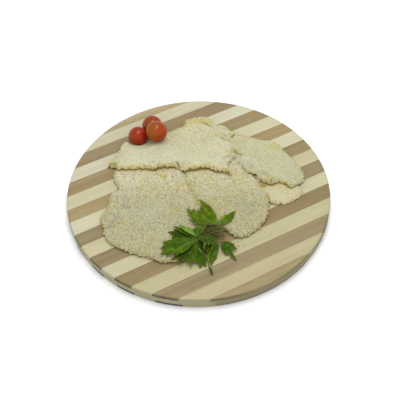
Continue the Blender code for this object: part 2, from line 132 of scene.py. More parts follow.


# For each cutlet: how speckled and patchy it is, how much darker towards its front, a tint, how upright,
# ragged and yellow its edge is, how much of its edge is a fringe of lumps, and a seed. Then lines on it, each
# a list of places in plan or one place: crusts are (line, size, how many lumps), creases (line, width, depth),
# and stains and shades (colour, line, reach, strength), where the colour is yellow, grey, pale, or brown as
# painted shade. Settles are (line, reach, how far the edge slopes down), pulls (line, reach, way in plan) and
# lifts (line, reach, height).
CUTLETS = {
    "cutlet_lower_right": cutlet(
        speck=0.3, mottle=0.2, tint=(0.97, 0.96, 0.93), ragged=0.6, edge=0.2, fringe=0.5, seed=53,
        crusts=[([(80, -23), (88, -24)], 1.1, 6)],
        creases=[([(72, 0), (76, -1)], 2.6, 2.0)],
        stains=[("yellow", [(72, -18), (84, -22)], 6, 0.4), ("brown_and_shade", [(72, 0), (75, -1)], 3.4, 1.0)],
        settles=[([(98, -22), (111, -12), (120, 2)], 9, 1.3)]),
    "cutlet_centre": cutlet(
        speck=0.85, mottle=0.7, tint=(0.98, 0.98, 0.94), browned=1.0, upright=0.1, ragged=0.5, edge=0.35,
        fringe=0.3, seed=23,
        crusts=[([(34, 26), (38, 22)], 1.2, 5)],
        creases=[([(33, -22), (45, -27), (56, -36)], 7.0, 0.9),
                 ([(54.5, 25.5), (61.5, 13.5), (66.5, 5)], 1.3, 2.4)],
        stains=[("pale", [(4, -4), (10, -10)], 9, 0.5),
                ("yellow", [(-20, 30), (-12, 5), (-5, -12), (0, -30)], 8, 0.45),
                ("grey", [(34, -20), (46, -28), (56, -38)], 9, 0.5),
                ("grey", [(50, -48), (60, -42)], 9, 0.35), ("yellow", [(18, -20), (30, -26)], 6, 0.35)],
        settles=[([(-16, 18), (-9, 2), (-4, -12), (0, -30)], 5, 1.0)],
        pulls=[([(72, -1), (74, -7)], 9, (-3.0, -1.0)), ([(32, -69), (38, -75)], 8, (1.6, 2.4))]),
    "cutlet_left": cutlet(
        speck=1.0, mottle=0.7, tint=(1.0, 1.0, 1.0), browned=1.0, upright=0.1, ragged=0.65, edge=0.35,
        fringe=0.4, seed=37,
        crusts=[([(-43.5, 19), (-38, 11)], 1.6, 9), ([(-37, -100), (-33, -102)], 1.4, 3)],
        stains=[("pale", [(-88, 16), (-76, 8), (-74, -4)], 12, 0.6),
                ("pale", [(-60, -44), (-40, -28)], 13, 0.7), ("yellow", [(-44, 20), (-37, 9)], 4, 0.7),
                ("grey", [(-84, -15), (-82, -22), (-80, -30)], 5, 0.8),
                ("grey", [(-89, -43), (-95, -51), (-98, -57)], 4.5, 0.8),
                ("grey", [(-60, -20), (-50, -40), (-30, -50)], 16, 0.2), ("yellow", [(-86.5, -53)], 7, 0.5),
                ("yellow", [(-14, 10), (-4, -20), (2, -40)], 7, 0.45)],
        settles=[([(-16, 17.5), (-9, 2), (-4, -12), (0, -30)], 5, 1.6)],
        pulls=[([(-92, -1)], 6, (2.2, 0.4))]),
    "cutlet_right": cutlet(
        speck=0.4, mottle=0.35, tint=(0.9, 0.95, 0.96), upright=0.3, ragged=0.8, edge=0.5, fringe=0.7,
        seed=41,
        crusts=[([(74, 1), (80, -2), (84, -3)], 1.7, 12), ([(90, 0), (96, -1)], 1.4, 6)],
        creases=[([(83, -5), (82.5, 0), (84.5, 4)], 1.0, 2.6), ([(99, -4), (98, 0)], 0.9, 1.6),
                 ([(43.5, 47), (47, 45.5), (51, 43)], 1.3, 3.6)],
        stains=[("yellow", [(84, 62), (96, 58)], 7, 0.55), ("yellow", [(70, 5), (90, 2), (104, -3)], 5, 0.5),
                ("pale", [(52, 36), (62, 27)], 10, 0.6), ("grey", [(106, 8)], 11, 0.4),
                ("grey", [(64, 20), (74, 12)], 9, 0.2)],
        settles=[([(41, 41), (45, 38.5), (50, 33)], 5, 2.6)],
        pulls=[([(70, 2), (80, -3), (86, -4)], 15, (0, 4.5)), ([(100, -6)], 8, (0, 1.5)),
               ([(117, 4), (110, -6)], 10, (-1.0, 1.4))],
        lifts=[([(62, 14)], 14, 0.8), ([(52, 30)], 10, 0.6)]),
    "cutlet_back": cutlet(
        speck=0.5, mottle=0.3, tint=(0.995, 1.015, 1.03), upright=0.7, ragged=0.9, edge=0.85, fringe=0.8,
        seed=11,
        crusts=[([(-13, 103), (-8, 106), (0, 108), (8, 109), (15, 104)], 1.9, 34),
                ([(-10, 99), (0, 101), (8, 103)], 1.3, 12), ([(24, 75), (29, 71), (34, 65)], 1.9, 12),
                ([(30, 78), (37, 72)], 1.6, 9), ([(43, 48), (48, 50), (50, 47)], 1.6, 10)],
        creases=[([(5, 104), (11, 102), (17, 98)], 1.2, 2.4), ([(29, 66), (34, 62), (38, 67)], 1.1, 2.0),
                 ([(-96.5, 36), (-94.5, 31), (-93, 26)], 1.0, 5.0),
                 ([(-24, 27), (-21.5, 23), (-20.5, 17)], 1.2, 5.0), ([(-45, 27), (-44.5, 22)], 1.1, 1.6),
                 ([(-30, 25), (-29, 20)], 0.9, 1.2), ([(-62, 29), (-61, 23)], 0.8, 1.2),
                 ([(-4, 26), (-3, 20)], 0.9, 1.4), ([(18, 25), (18.5, 20)], 0.9, 1.2),
                 ([(43.5, 47), (47, 45.5), (51, 43)], 1.3, 3.6)],
        stains=[("pale", [(-80, 50), (-40, 45), (0, 42), (25, 38)], 24, 0.5),
                ("pale", [(-10, 60), (10, 48), (28, 56)], 16, 0.5),
                ("yellow", [(-13, 103), (0, 107), (15, 103)], 9, 0.7),
                ("yellow", [(24, 74), (36, 66)], 7, 0.35), ("yellow", [(-100, 40), (-96, 30)], 9, 0.45),
                ("yellow", [(20, 52), (36, 44)], 9, 0.3), ("brown_and_shade", [(-96.5, 35), (-93, 26)], 1.6, 1.0),
                ("yellow", [(45, 49), (49, 48)], 3, 0.6)],
        settles=[([(30, 84), (36, 75), (40, 63), (43, 53), (46, 45), (42, 41)], 7, 2.9),
                 ([(43, 41), (38, 37), (35, 34)], 7, 3.4)],
        pulls=[([(-101, 30)], 9, (1.5, 5.5)),
               ([(-92, 30), (-60, 24), (-30, 22), (0, 22), (34, 30)], 9, (0, 2.4)),
               ([(-17, 16), (-9, 14)], 9, (0, 2.6)),
               ([(-78, 68), (-70, 66), (-62, 69), (-56, 74)], 13, (-0.8, 4.6))],
        lifts=[([(-40, 22)], 22, 0.9), ([(0, 21)], 20, 1.2), ([(22, 20)], 14, 0.8)]),
}

# ---- Tomatoes: body, blush and deep colours, how far each one's stem end leans over, and a seed ----
TOMATOES = {
    "tomato_red": (((142, 42, 10), (154, 34, 12), (104, 22, 6)), 155, 3),
    "tomato_back": (((140, 58, 6), (152, 46, 4), (104, 32, 6)), 200, 4),
    "tomato_orange": (((146, 74, 4), (158, 56, 4), (116, 46, 4)), 170, 5),
}
TOMATO_SIDES = 72
TOMATO_RINGS = 48
TOMATO_GLOSS = (1.0, 0.62, 0.42, 1.0)
BLUSH_REACH = 5.0
DIMPLE_DEPTH = 0.12
DIMPLE_RADIUS = 0.34
LOBES = 5
LOBE_DEPTH = 0.008
TOMATO_UNEVEN = (0.012, 0.8)  # how far its skin wavers and over what length, both as shares of its radius

# ---- Parsley: places whose heights are over the board's top, along the sprig of the CAD model ----
STEM_RADIUS = 0.6
STEM_SIDES = 10
STEM_STEP = 0.9
STEM_RIDGES = 5
STEMS = [
    [(29.5, -66.5, 9.2), (24.5, -63.3, 9.6), (20.5, -61, 9.9), (13, -60.8, 11.4), (7.5, -62.5, 12.8)],
    [(27.5, -65.5, 9.4), (15.5, -70.5, 10.2), (6, -73.5, 10.5), (-3.5, -76, 9.6)],
    [(28.5, -66.5, 9.0), (15.5, -73.5, 9.0), (10.5, -77, 8.8), (8, -79.5, 8.5)],
    [(27, -66, 9.0), (26, -73.5, 7.2), (23, -80.3, 5.4), (17.5, -79.5, 5.6)],
    [(29, -66.3, 9.6), (19, -65, 10.2), (9, -68, 10.6), (-2, -74, 10.2)],
    [(28.5, -67, 9.4), (20, -68.2, 9.6), (11, -71.5, 9.8), (2, -77, 9.2)],
    [(28, -65.8, 9.2), (17, -63.2, 9.4), (8, -65.5, 9.6), (0, -70, 9.6)],
    [(28, -66.2, 9.4), (20.5, -66.8, 9.6), (11.5, -68.8, 10), (2.5, -72.6, 9.9)],
    [(28, -66.8, 9.2), (21, -69.2, 9.3), (14, -71.6, 9.5), (6, -75.5, 9.6)],
    [(-3.5, -76, 9.6), (-4.5, -80, 9.2), (-5, -84, 8.6), (-2, -88.5, 7.9), (4, -97, 4.6), (8.5, -103.5, 2.4),
     (9.5, -111, 1.6), (11.5, -119.5, 1.2)],
]
# Each leaflet: how bright it is, partly its own tone and partly painted light and shade, how far out the notch
# between each two lobes is, and its base and then its lobes' tips in order.
LEAFLETS = [
    (0.72, (1.0, 0.42, 0.92, 0.78, 0.48), [(2, -56.5, 13), (-4, -59.5, 12.4), (-11.5, -53, 12.2),
     (-12, -46.5, 12.8), (-13.5, -38.5, 13.4), (-6, -39.5, 13.9), (-1.5, -40, 14)]),
    (0.74, (0.97, 0.9, 0.8, 0.96, 0.99, 1.0, 1.0), [(20, -59, 9.6), (-1, -60, 12.2), (2, -52, 13.2),
     (1.5, -38, 13.8), (2.5, -31.5, 13.6), (0.5, -25.5, 13.2), (8, -31, 12), (15, -38, 11), (19, -48, 10.2)]),
    (0.78, (0.97, 0.72, 0.97, 0.97, 0.96), [(21, -60, 9.2), (24, -51, 8.8), (29, -44, 8.6),
     (40.5, -39.5, 8.6), (38.5, -47, 8.5), (35.5, -54, 8.6), (30.5, -56.5, 8.8)]),
    (0.5, (0.93, 0.93), [(-3, -75.8, 9.7), (-6.5, -66, 11.2), (-1, -62.5, 12.6), (8, -62.5, 12.3)]),
    (0.5, (0.82, 0.86), [(-3.5, -76, 9.6), (-28, -61, 10.6), (-20.5, -60, 12.1), (-13.5, -63.5, 11.9)]),
    (0.35, (0.84, 0.86), [(-4, -78, 9.0), (-30, -76, 7.7), (-34, -66.5, 8.1), (-27.5, -63, 7.8)]),
    (0.5, (0.9, 0.88, 0.84), [(-4.5, -80, 9.2), (-39, -81.5, 9.3), (-41.5, -90, 9.4), (-42, -98, 9.3),
     (-35.5, -100, 9.2)]),
    (0.6, (0.82, 0.8), [(-4.8, -82, 9.6), (-30.5, -98.5, 10.8), (-25.5, -100.5, 10.7), (-20, -97.5, 10.7)]),
    (0.12, (0.86, 0.78), [(-5, -84, 8.2), (-30, -103.5, 6.7), (-22, -107, 5.9), (-14, -105, 5.8)]),
    (0.55, (0.84, 0.84), [(-4, -85.5, 8.6), (-13, -106.5, 6.2), (-10.5, -111, 4.5), (-6, -105.5, 5.2)]),
    (0.4, (0.8, 0.86, 0.8), [(-2, -88.5, 7.9), (-4, -105.5, 4.4), (0, -111.5, 1.6), (6.5, -109.5, 1.6),
     (8, -101, 2.4)]),
    (0.5, (0.86, 0.88, 0.9, 0.96), [(18.5, -79.6, 5.6), (7.5, -97, 3), (9, -103.5, 1.8), (11.5, -108.5, 1.6),
     (17, -100, 1.6), (20, -88, 1.8)]),
    (0.35, (0.8, 0.82, 0.84), [(8, -79.5, 8.5), (4, -92.5, 7.3), (8, -94.5, 5.5), (13.5, -89.5, 4.6),
     (15.5, -82, 5.8)]),
    (0.2, (), [(9.5, -109, 2.0), (13, -120.5, 1.4)]),
    (0.05, (0.8, 0.8, 0.85), [(-2, -78, 7.6), (-4, -92, 5.2), (3, -95, 3.8), (9, -90, 4.2), (8, -82, 6)]),
    (0.3, (0.8, 0.8), [(-3, -80, 8.4), (-13, -95, 6.6), (-6, -98, 5.6), (0, -94, 5.6)]),
    # a dark leaflet under the stems, standing for the shade there: painted shade
    (0.0, (0.97, 0.97, 0.97), [(25, -66, 8.2), (12, -62.5, 8.2), (0, -66, 8.2), (-2, -73, 8), (12, -73, 8)]),
    (0.42, (0.85, 0.88), [(-1.5, -77, 10.9), (4.5, -83.5, 10.8), (8.5, -79.5, 11), (7.5, -75.5, 11)]),
    (0.5, (0.86, 0.84), [(7.5, -74, 11.3), (9.5, -88, 10.2), (15, -87.5, 9.8), (17.5, -81, 10.4)]),
    (0.9, (), [(-3.5, -75.5, 10.6), (-22, -61, 13.2)]),
    (0.85, (), [(-2.5, -88.5, 9.0), (2.5, -96.5, 7.9)]),
    (1.0, (), [(8.5, -99, 6.0), (9.5, -108, 4.0)]),
    (0.75, (), [(16, -80.5, 6.8), (12.5, -92.5, 6.6)]),
    (0.7, (), [(7.5, -79, 9.4), (4, -91, 8.6)]),
    (0.55, (0.72, 0.6, 0.93), [(22.5, -80.2, 5.4), (28, -95.5, 1.8), (38.5, -102.5, 1.6), (40, -88.5, 3),
     (37, -83, 5)]),
]
LEAF_SEED = 71
LEAF_THICKNESS = 0.35
LEAF_STEP = 0.5
LEAF_GRID = 0.75
ROW_SPACING = 0.87  # of the grid's rows, as a share of the distance along a row
LOBE_BULGE = 0.02
SHOULDER = (0.42, 0.11)  # how far along a lobe its widest place is, and how wide, as shares of its length
SHOULDER_BULGE = 0.04
TOOTH_PLACES = (0.3, 0.52, 0.74, 0.94)
TOOTH_HEIGHT = 0.6
TOOTH_REACH = 0.2
TOOTH_BACK = 0.3 * TOOTH_REACH
FULL_TOOTH_CHORD = 10.0  # a flank shorter than this has smaller teeth
MOST_TOOTH = 1.2  # and a longer one has teeth up to this much larger
VEIN_FOLD = 1.4
VEIN_WIDTH = 0.35
SIDE_VEIN_STEP = 2.1
RIM_HIGHLIGHT_WIDTH = 0.6
TIP_FROM = 0.6  # where along a lobe its tip's colour starts
TIP_DROOP = 0.8
DROOP_RANGE = (0.2, 1.6)
# how far each lobe's brightness strays from its leaflet's: painted light and shade
BRIGHT_SPREAD = 0.18
LEAF_CLEARANCE = 0.5

# ---- Loose crumbs: how many lie on each cutlet's top, and how many along its edge ----
GRAINS = {"cutlet_back": (4200, 1000), "cutlet_left": (6500, 600), "cutlet_centre": (4200, 320),
          "cutlet_right": (2400, 450), "cutlet_lower_right": (700, 120)}
GRAIN_SEED = 97
GRAIN_SIZE = (0.22, 0.62)
PALE_GRAINS = {"cutlet_back": 0.3, "cutlet_right": 0.25, "cutlet_lower_right": 0.35}  # the least tone of each
GRAIN_SINK = 0.25
GRAIN_HEADROOM = 1.5  # a crumb is left out if something lies this far over it or farther
EDGE_GRAIN_SIZE = (0.3, 0.75)
EDGE_GRAIN_TONE = 0.92
BOARD_GRAINS = [(43, -80, 7, 40), (0, 0, 105, 150)]  # on the board: each patch's middle, reach and count
BOARD_GRAIN_HEIGHT = 0.2


def srgb(red, green, blue):
    """Linear surface colour, with alpha, for one that looks like this, from 0 to 255, in the light here."""
    def linear(value):
        value /= 255
        return (value / 12.92 if value <= 0.04045 else ((value + 0.055) / 1.055) ** 2.4) / LIGHT_LEVEL

    return linear(red), linear(green), linear(blue), 1.0


# ---- Noise and curves ----

def lattice(ix, iy, iz, seed):
    """A repeatable random number from 0 to 1 for each whole-number point."""
    mixed = (ix * 374761393 + iy * 668265263 + iz * 2147483629 + seed * 1274126177) & 0xFFFFFFFF
    mixed = ((mixed ^ (mixed >> 13)) * 1274126177) & 0xFFFFFFFF
    return ((mixed ^ (mixed >> 16)) & 0xFFFFFF) / float(0x1000000)


def noise(points, size, seed):
    """Smooth noise from -1 to 1 at points (n, 3), its features about size across."""
    scaled = np.asarray(points, float) / size
    corner = np.floor(scaled).astype(np.int64)
    share = scaled - corner
    ease = share * share * (3 - 2 * share)
    total = np.zeros(len(scaled))
    for dx in (0, 1):
        for dy in (0, 1):
            for dz in (0, 1):
                weight = np.where(dx, ease[:, 0], 1 - ease[:, 0])
                weight = weight * np.where(dy, ease[:, 1], 1 - ease[:, 1])
                weight = weight * np.where(dz, ease[:, 2], 1 - ease[:, 2])
                total += weight * lattice(corner[:, 0] + dx, corner[:, 1] + dy, corner[:, 2] + dz, seed)
    return 2 * total - 1


def smoothstep(value, low, high):
    """A smooth rise from 0 to 1 between two values."""
    share = np.clip((value - low) / (high - low), 0, 1)
    return share * share * (3 - 2 * share)


def fade(value, near, far):
    """A smooth fall from 1 to 0 between two values."""
    return 1 - smoothstep(value, near, far)


def smooth_line(corners, step, closed=False):
    """Points about step apart along a smooth curve through the corners."""
    corners = np.asarray(corners, float)
    count = len(corners)
    pieces = []
    for i in range(count if closed else count - 1):
        if closed:
            before, here, there, after = (corners[(i + k) % count] for k in (-1, 0, 1, 2))
        else:
            before, here, there, after = (corners[min(max(i + k, 0), count - 1)] for k in (-1, 0, 1, 2))
        steps = max(int(np.linalg.norm(there - here) / step), 1)
        t = np.arange(steps)[:, None] / steps
        square, cube = 2 * before - 5 * here + 4 * there - after, 3 * here - before - 3 * there + after
        pieces.append(0.5 * (2 * here + (there - before) * t + square * t**2 + cube * t**3))
    if not closed:
        pieces.append(corners[-1:])
    return np.vstack(pieces)


def distance_to_line(flat, corners, step=1.0, closed=False):
    """Distance in plan from points (n, 2) to a smooth curve through the corners, or to a single place."""
    best = np.full(len(flat), 1e9)
    for place in smooth_line(corners, step, closed):
        best = np.minimum(best, np.hypot(flat[:, 0] - place[0], flat[:, 1] - place[1]))
    return best


# ---- Materials ----

class Nodes:
    """A node tree, filled by short calls that take numbers, colours or other nodes' outputs."""

    def __init__(self, tree):
        self.tree = tree

    def set(self, node, socket, value):
        if isinstance(value, bpy.types.NodeSocket):
            self.tree.links.new(value, node.inputs[socket])
        elif value is not None:
            node.inputs[socket].default_value = value

    def node(self, kind, output, *values, settings=None, **sockets):
        """One output of a new node, whose sockets are set in their order or by name."""
        made = self.tree.nodes.new("ShaderNode" + kind)
        for key, value in (settings or {}).items():
            setattr(made, key, value)
        for index, value in enumerate(values):
            self.set(made, index, value)
        for name, value in sockets.items():
            self.set(made, name.replace("_", " "), value)
        return made.outputs[output]

    def split(self, vector):
        return [self.node("SeparateXYZ", axis, vector) for axis in "XYZ"]

    def math(self, operation, *values):
        return self.node("Math", 0, *values, settings={"operation": operation})

    def times(self, first, second):
        return self.math("MULTIPLY", first, second)

    def range(self, value, low, high, to_low=0.0, to_high=1.0):
        return self.node("MapRange", "Result", value, low, high, to_low, to_high)


class Graph(Nodes):
    """A material's nodes."""

    def __init__(self, name, roughness, specular):
        self.material = bpy.data.materials.new(name)
        self.material.use_nodes = True
        super().__init__(self.material.node_tree)
        self.shader = self.tree.nodes["Principled BSDF"]
        self.set(self.shader, "Roughness", roughness)
        self.set(self.shader, "Specular IOR Level", specular)

    def place(self):
        """Where a point is, in millimetres."""
        position = self.node("TexCoord", "Object")
        return self.node("VectorMath", "Vector", position, settings={"operation": "SCALE"}, Scale=1 / MM)

    def mapping(self, vector, turn=0.0, scale=(1, 1, 1)):
        return self.node("Mapping", "Vector", Vector=vector, Rotation=(0, 0, math.radians(turn)), Scale=scale)

    def noise(self, vector, size, detail=2.0, roughness=0.5, distortion=0.0):
        """Noise from 0 to 1 with features about size millimetres across."""
        return self.node("TexNoise", "Fac", Vector=vector, Scale=1 / size, Detail=detail, Roughness=roughness,
                         Distortion=distortion)

    def cells(self, vector, size, output="Color"):
        """Voronoi cells about size millimetres across."""
        return self.node("TexVoronoi", output, Vector=vector, Scale=1 / size)

    def channel(self, colour, name):
        return self.node("SeparateColor", name, Color=colour)

    def attribute(self, name, output="Fac"):
        return self.node("Attribute", output, settings={"attribute_name": name})

    def mix(self, factor, first, second, blend="MIX"):
        made = self.tree.nodes.new("ShaderNodeMix")
        made.data_type = "RGBA"
        made.blend_type = blend
        for index, value in ((0, factor), (6, first), (7, second)):
            self.set(made, index, value)
        return made.outputs[2]

    def tinted(self, factor, colour, tint):
        """A colour multiplied by another, as far as the factor says."""
        return self.mix(factor, colour, (*tint, 1) if isinstance(tint, tuple) else tint, "MULTIPLY")

    def shaded(self, colour, shade):
        """A colour multiplied by one number."""
        grey = self.node("CombineColor", "Color", shade, shade, shade)
        return self.tinted(1.0, colour, grey)

    def layered(self, colour, layers):
        """A colour under layers, each a factor and a seen colour."""
        for factor, own in layers:
            colour = self.mix(factor, colour, srgb(*own))
        return colour

    def ramp(self, value, stops, interpolation="LINEAR"):
        made = self.tree.nodes.new("ShaderNodeValToRGB")
        made.color_ramp.interpolation = interpolation
        elements = made.color_ramp.elements
        while len(elements) < len(stops):
            elements.new(0.5)
        for element, (position, colour) in zip(elements, stops):
            element.position = position
            element.color = colour
        self.set(made, "Fac", value)
        return made.outputs["Color"]

    def seen_ramp(self, value, stops, interpolation="LINEAR"):
        return self.ramp(value, [(position, srgb(*seen)) for position, seen in stops], interpolation)

    def bump(self, height, distance, strength):
        """A normal from a height from 0 to 1, distance millimetres tall."""
        return self.node("Bump", "Normal", Height=height, Distance=distance * MM, Strength=strength)

    def finish(self, colour, normal=None, roughness=None):
        self.set(self.shader, "Base Color", colour)
        self.set(self.shader, "Normal", normal)
        self.set(self.shader, "Roughness", roughness)
        return self.material


def wood_material():
    """Two woods in strips on the top and bottom plies, and pale wood in the ply between them."""
    graph = Graph("striped_wood", 0.55, 0.3)
    along = graph.mapping(graph.place(), turn=-STRIP_TURN)
    u, v, z = graph.split(along)
    low_ply = graph.math("LESS_THAN", z, PLY_TOPS[0])
    v = graph.math("ADD", v, graph.times(low_ply, LOW_PLY_SHIFT))
    share = graph.range(v, -STRIP_REACH, STRIP_REACH)
    starts = [0.0] + [(seam + STRIP_REACH) / (2 * STRIP_REACH) for seam in SEAMS]
    numbers = [(start, (*[i / len(SEAMS)] * 3, 1)) for i, start in enumerate(starts)]
    strip = graph.math("ROUND", graph.times(graph.ramp(share, numbers, "CONSTANT"), len(SEAMS)))
    own = graph.node("TexWhiteNoise", "Color", settings={"noise_dimensions": "1D"},
                     W=graph.math("ADD", strip, 20.3))
    shift = graph.node("CombineXYZ", "Vector", X=graph.times(strip, 37.1), Y=0.0, Z=graph.times(strip, 11.7))
    shifted = graph.node("VectorMath", "Vector", along, shift, settings={"operation": "ADD"})

    def grain(scale, size, detail, **more):
        """Noise drawn out along the strips, different in each."""
        return graph.noise(graph.mapping(shifted, scale=scale), size, detail, **more)

    fibre = grain((0.028, 1.0, 0.6), 1.1, 3.0, roughness=0.6)
    bands = grain((0.02, 1.0, 0.4), 6.0, 2.0, distortion=0.3)
    clouds = grain((0.35, 1.0, 1.0), 22.0, 2.0)
    pores = grain((0.09, 1.0, 1.0), 0.55, 1.0)
    streaks = grain((0.03, 1.0, 0.5), 2.0, 3.0, distortion=0.2)
    end_grain = grain((1.0, 1.0, 0.3), 0.7, 2.0)

    dark = graph.math("SUBTRACT", 1.0, graph.math("MODULO", strip, 2.0))
    figure = graph.range(dark, 0.0, 1.0, 0.45, 1.0)
    wood = graph.seen_ramp(share, zip(starts, STRIPS), "CONSTANT")
    for pattern, low, high, most, gate, tint in (
            (bands, 0.4, 0.7, 1.0, figure, (0.86, 0.82, 0.78)),
            (clouds, 0.45, 0.75, 1.0, 1.0, (1.07, 1.08, 1.08)),
            (streaks, 0.5, 0.68, 1.0, dark, (1.08, 0.98, 0.87)),
            (streaks, 0.44, 0.3, 1.0, dark, (0.86, 0.88, 0.93)),
            (fibre, 0.52, 0.74, 0.7, figure, (0.78, 0.72, 0.66)),
            (pores, 0.63, 0.76, 0.7, figure, (0.62, 0.55, 0.48))):
        wood = graph.tinted(graph.times(graph.range(pattern, low, high, 0.0, most), gate), wood, tint)
    middle = graph.mix(graph.range(fibre, 0.4, 0.7, 0.0, 0.5), srgb(184, 177, 138), srgb(162, 155, 118))
    browner = graph.range(u, RIM_TURNS, RIM_TURNS + 10)
    middle = graph.mix(browner, middle, srgb(152, 142, 100))
    outer = graph.math("MAXIMUM", low_ply, graph.math("GREATER_THAN", z, PLY_TOPS[1]))
    colour = graph.mix(outer, middle, wood)
    colour = graph.shaded(colour, graph.range(graph.channel(own, "Red"), 0.0, 1.0, 0.98, 1.02))
    colour = graph.mix(graph.times(graph.attribute("seam"), 0.5), colour, srgb(120, 96, 66))

    # The side is darker than the top: partly the end grain's own tone, partly painted shade. The dark strips'
    # sides, and left of RIM_TURNS the bottom ply's, are darkest; right of it the middle ply is browner.
    side = graph.mix(graph.range(end_grain, 0.3, 0.7), (0.78, 0.8, 0.8, 1), (0.66, 0.67, 0.67, 1))
    first = graph.math("LESS_THAN", v, SEAMS[0])
    kept = graph.math("SUBTRACT", 1.0, graph.times(first, graph.range(u, RIM_TURNS, -20.0, 0.0, 0.7)))
    side = graph.mix(graph.times(graph.times(dark, outer), kept), side, (0.42, 0.38, 0.32, 1))
    low_side = graph.mix(browner, (0.2, 0.17, 0.16, 1), (0.55, 0.6, 0.75, 1))
    side = graph.mix(graph.times(dark, low_ply), side, low_side)
    for top in PLY_TOPS:
        glue = graph.range(graph.math("ABSOLUTE", graph.math("SUBTRACT", z, top)), 0.45, 0.15, 0.0, 0.5)
        side = graph.mix(glue, side, (0.42, 0.4, 0.36, 1))
    colour = graph.tinted(graph.attribute("rim"), colour, side)
    height = graph.math("ADD", graph.times(fibre, 0.5), graph.times(pores, 0.5))
    roughness = graph.range(graph.math("ADD", fibre, clouds), 0.7, 1.3, 0.42, 0.6)
    return graph.finish(colour, graph.bump(height, 0.12, 0.6), roughness)


def crumb_colour(graph, where, warmth, speck, mottle):
    """Pale crumb with darker and lighter specks. warmth, from 0 to 1, makes it yellower."""
    cells = {"coarse": graph.channel(graph.cells(where, COARSE_CELL), "Red"),
             "fine": graph.channel(graph.cells(where, FINE_CELL), "Green")}
    slow = graph.range(graph.noise(where, 24.0), 0.36, 0.64, 0.5 - 0.5 * mottle, 0.5 + 0.5 * mottle)
    ground = graph.mix(slow, srgb(202, 202, 174), srgb(210, 197, 146))
    layers = [(graph.range(graph.noise(where, size, detail), low, high, 0.0, strength * mottle), colour)
              for size, detail, low, high, strength, colour in CRUMB_PATCHES]
    layers.append((warmth, (206, 190, 112)))
    layers += [(graph.range(cells[kind], low, high, 0.0, strength * speck), colour)
               for kind, low, high, strength, colour in CRUMB_SPECKS]
    return graph.layered(ground, layers)


def cutlet_material(name, look):
    """Egg and crumb coating: the mesh's marks make it yellow, grey, or brown painted shade in hollows and gaps.
    """
    graph = Graph(name, 0.9, 0.12)
    where = graph.place()
    stain = graph.attribute("stain", "Color")
    yellow, grey, brown_and_shade = (graph.channel(stain, key) for key in ("Red", "Green", "Blue"))
    colour = crumb_colour(graph, where, yellow, look["speck"], look["mottle"])
    veil = graph.range(graph.noise(where, 2.6, 3.0), 0.3, 0.6)
    # Grey and pale patches, then brown painted shade in hollows, creases and under edges.
    colour = graph.layered(colour, [(graph.times(grey, veil), (175, 168, 158)),
                                    (graph.times(graph.attribute("pale"), 0.5), (216, 215, 194)),
                                    (graph.times(brown_and_shade, 0.85), (168, 138, 48))])
    colour = graph.shaded(colour, graph.range(graph.noise(where, 0.95, 1.0), 0.3, 0.7, 0.88, 1.12))
    # Two cutlets are darker towards the front.
    colour = graph.tinted(graph.attribute("browned"), colour, FRONT_DARKENING_TINT)
    colour = graph.tinted(1.0, colour, look["tint"])
    hollows = graph.times(graph.cells(where, COARSE_CELL, "Distance"), -0.6)
    height = graph.math("ADD", hollows, graph.noise(where, 0.7))
    return graph.finish(colour, graph.bump(height, 0.35, 0.5 + 0.3 * look["speck"]))


def grain_material():
    """Loose crumbs: each has a tone of its own."""
    graph = Graph("loose_crumb", 0.85, 0.2)
    colour = graph.seen_ramp(graph.attribute("tone"), [
        (0.0, (128, 112, 78)), (0.14, (172, 160, 118)), (0.4, (205, 198, 160)), (0.8, (226, 221, 192)),
        (0.9, (234, 228, 196)), (1.0, (214, 198, 130))])
    mottle = graph.noise(graph.place(), 0.4)
    colour = graph.mix(graph.range(mottle, 0.45, 0.7, 0.0, 0.4), colour, srgb(186, 172, 124))
    return graph.finish(colour, graph.bump(mottle, 0.08, 0.6))


def tomato_material(name, body, blush, deep, middle):
    """A glossy skin, blushed to the right of its middle and deeper at its stem end."""
    graph = Graph(name, 0.25, 0.3)
    graph.set(graph.shader, "Specular Tint", TOMATO_GLOSS)
    facing = graph.node("LayerWeight", "Facing", Blend=0.5)
    graph.set(graph.shader, "Specular IOR Level", graph.range(facing, 0.4, 0.8, 0.45, 0.03))
    where = graph.place()
    patches = graph.range(graph.noise(where, 9.0), 0.3, 0.7, -BLUSH_REACH, BLUSH_REACH)
    flecks = graph.noise(where, 0.7)
    across = graph.math("ADD", graph.split(where)[0], patches)
    side = graph.range(across, middle - BLUSH_REACH, middle + BLUSH_REACH)
    colour = graph.layered(srgb(*body), [(side, blush), (graph.attribute("pole"), deep),
                                         (graph.range(flecks, 0.6, 0.72, 0.0, 0.2), (196, 104, 50))])
    return graph.finish(colour, graph.bump(flecks, 0.03, 0.5), graph.range(flecks, 0.3, 0.7, 0.18, 0.26))


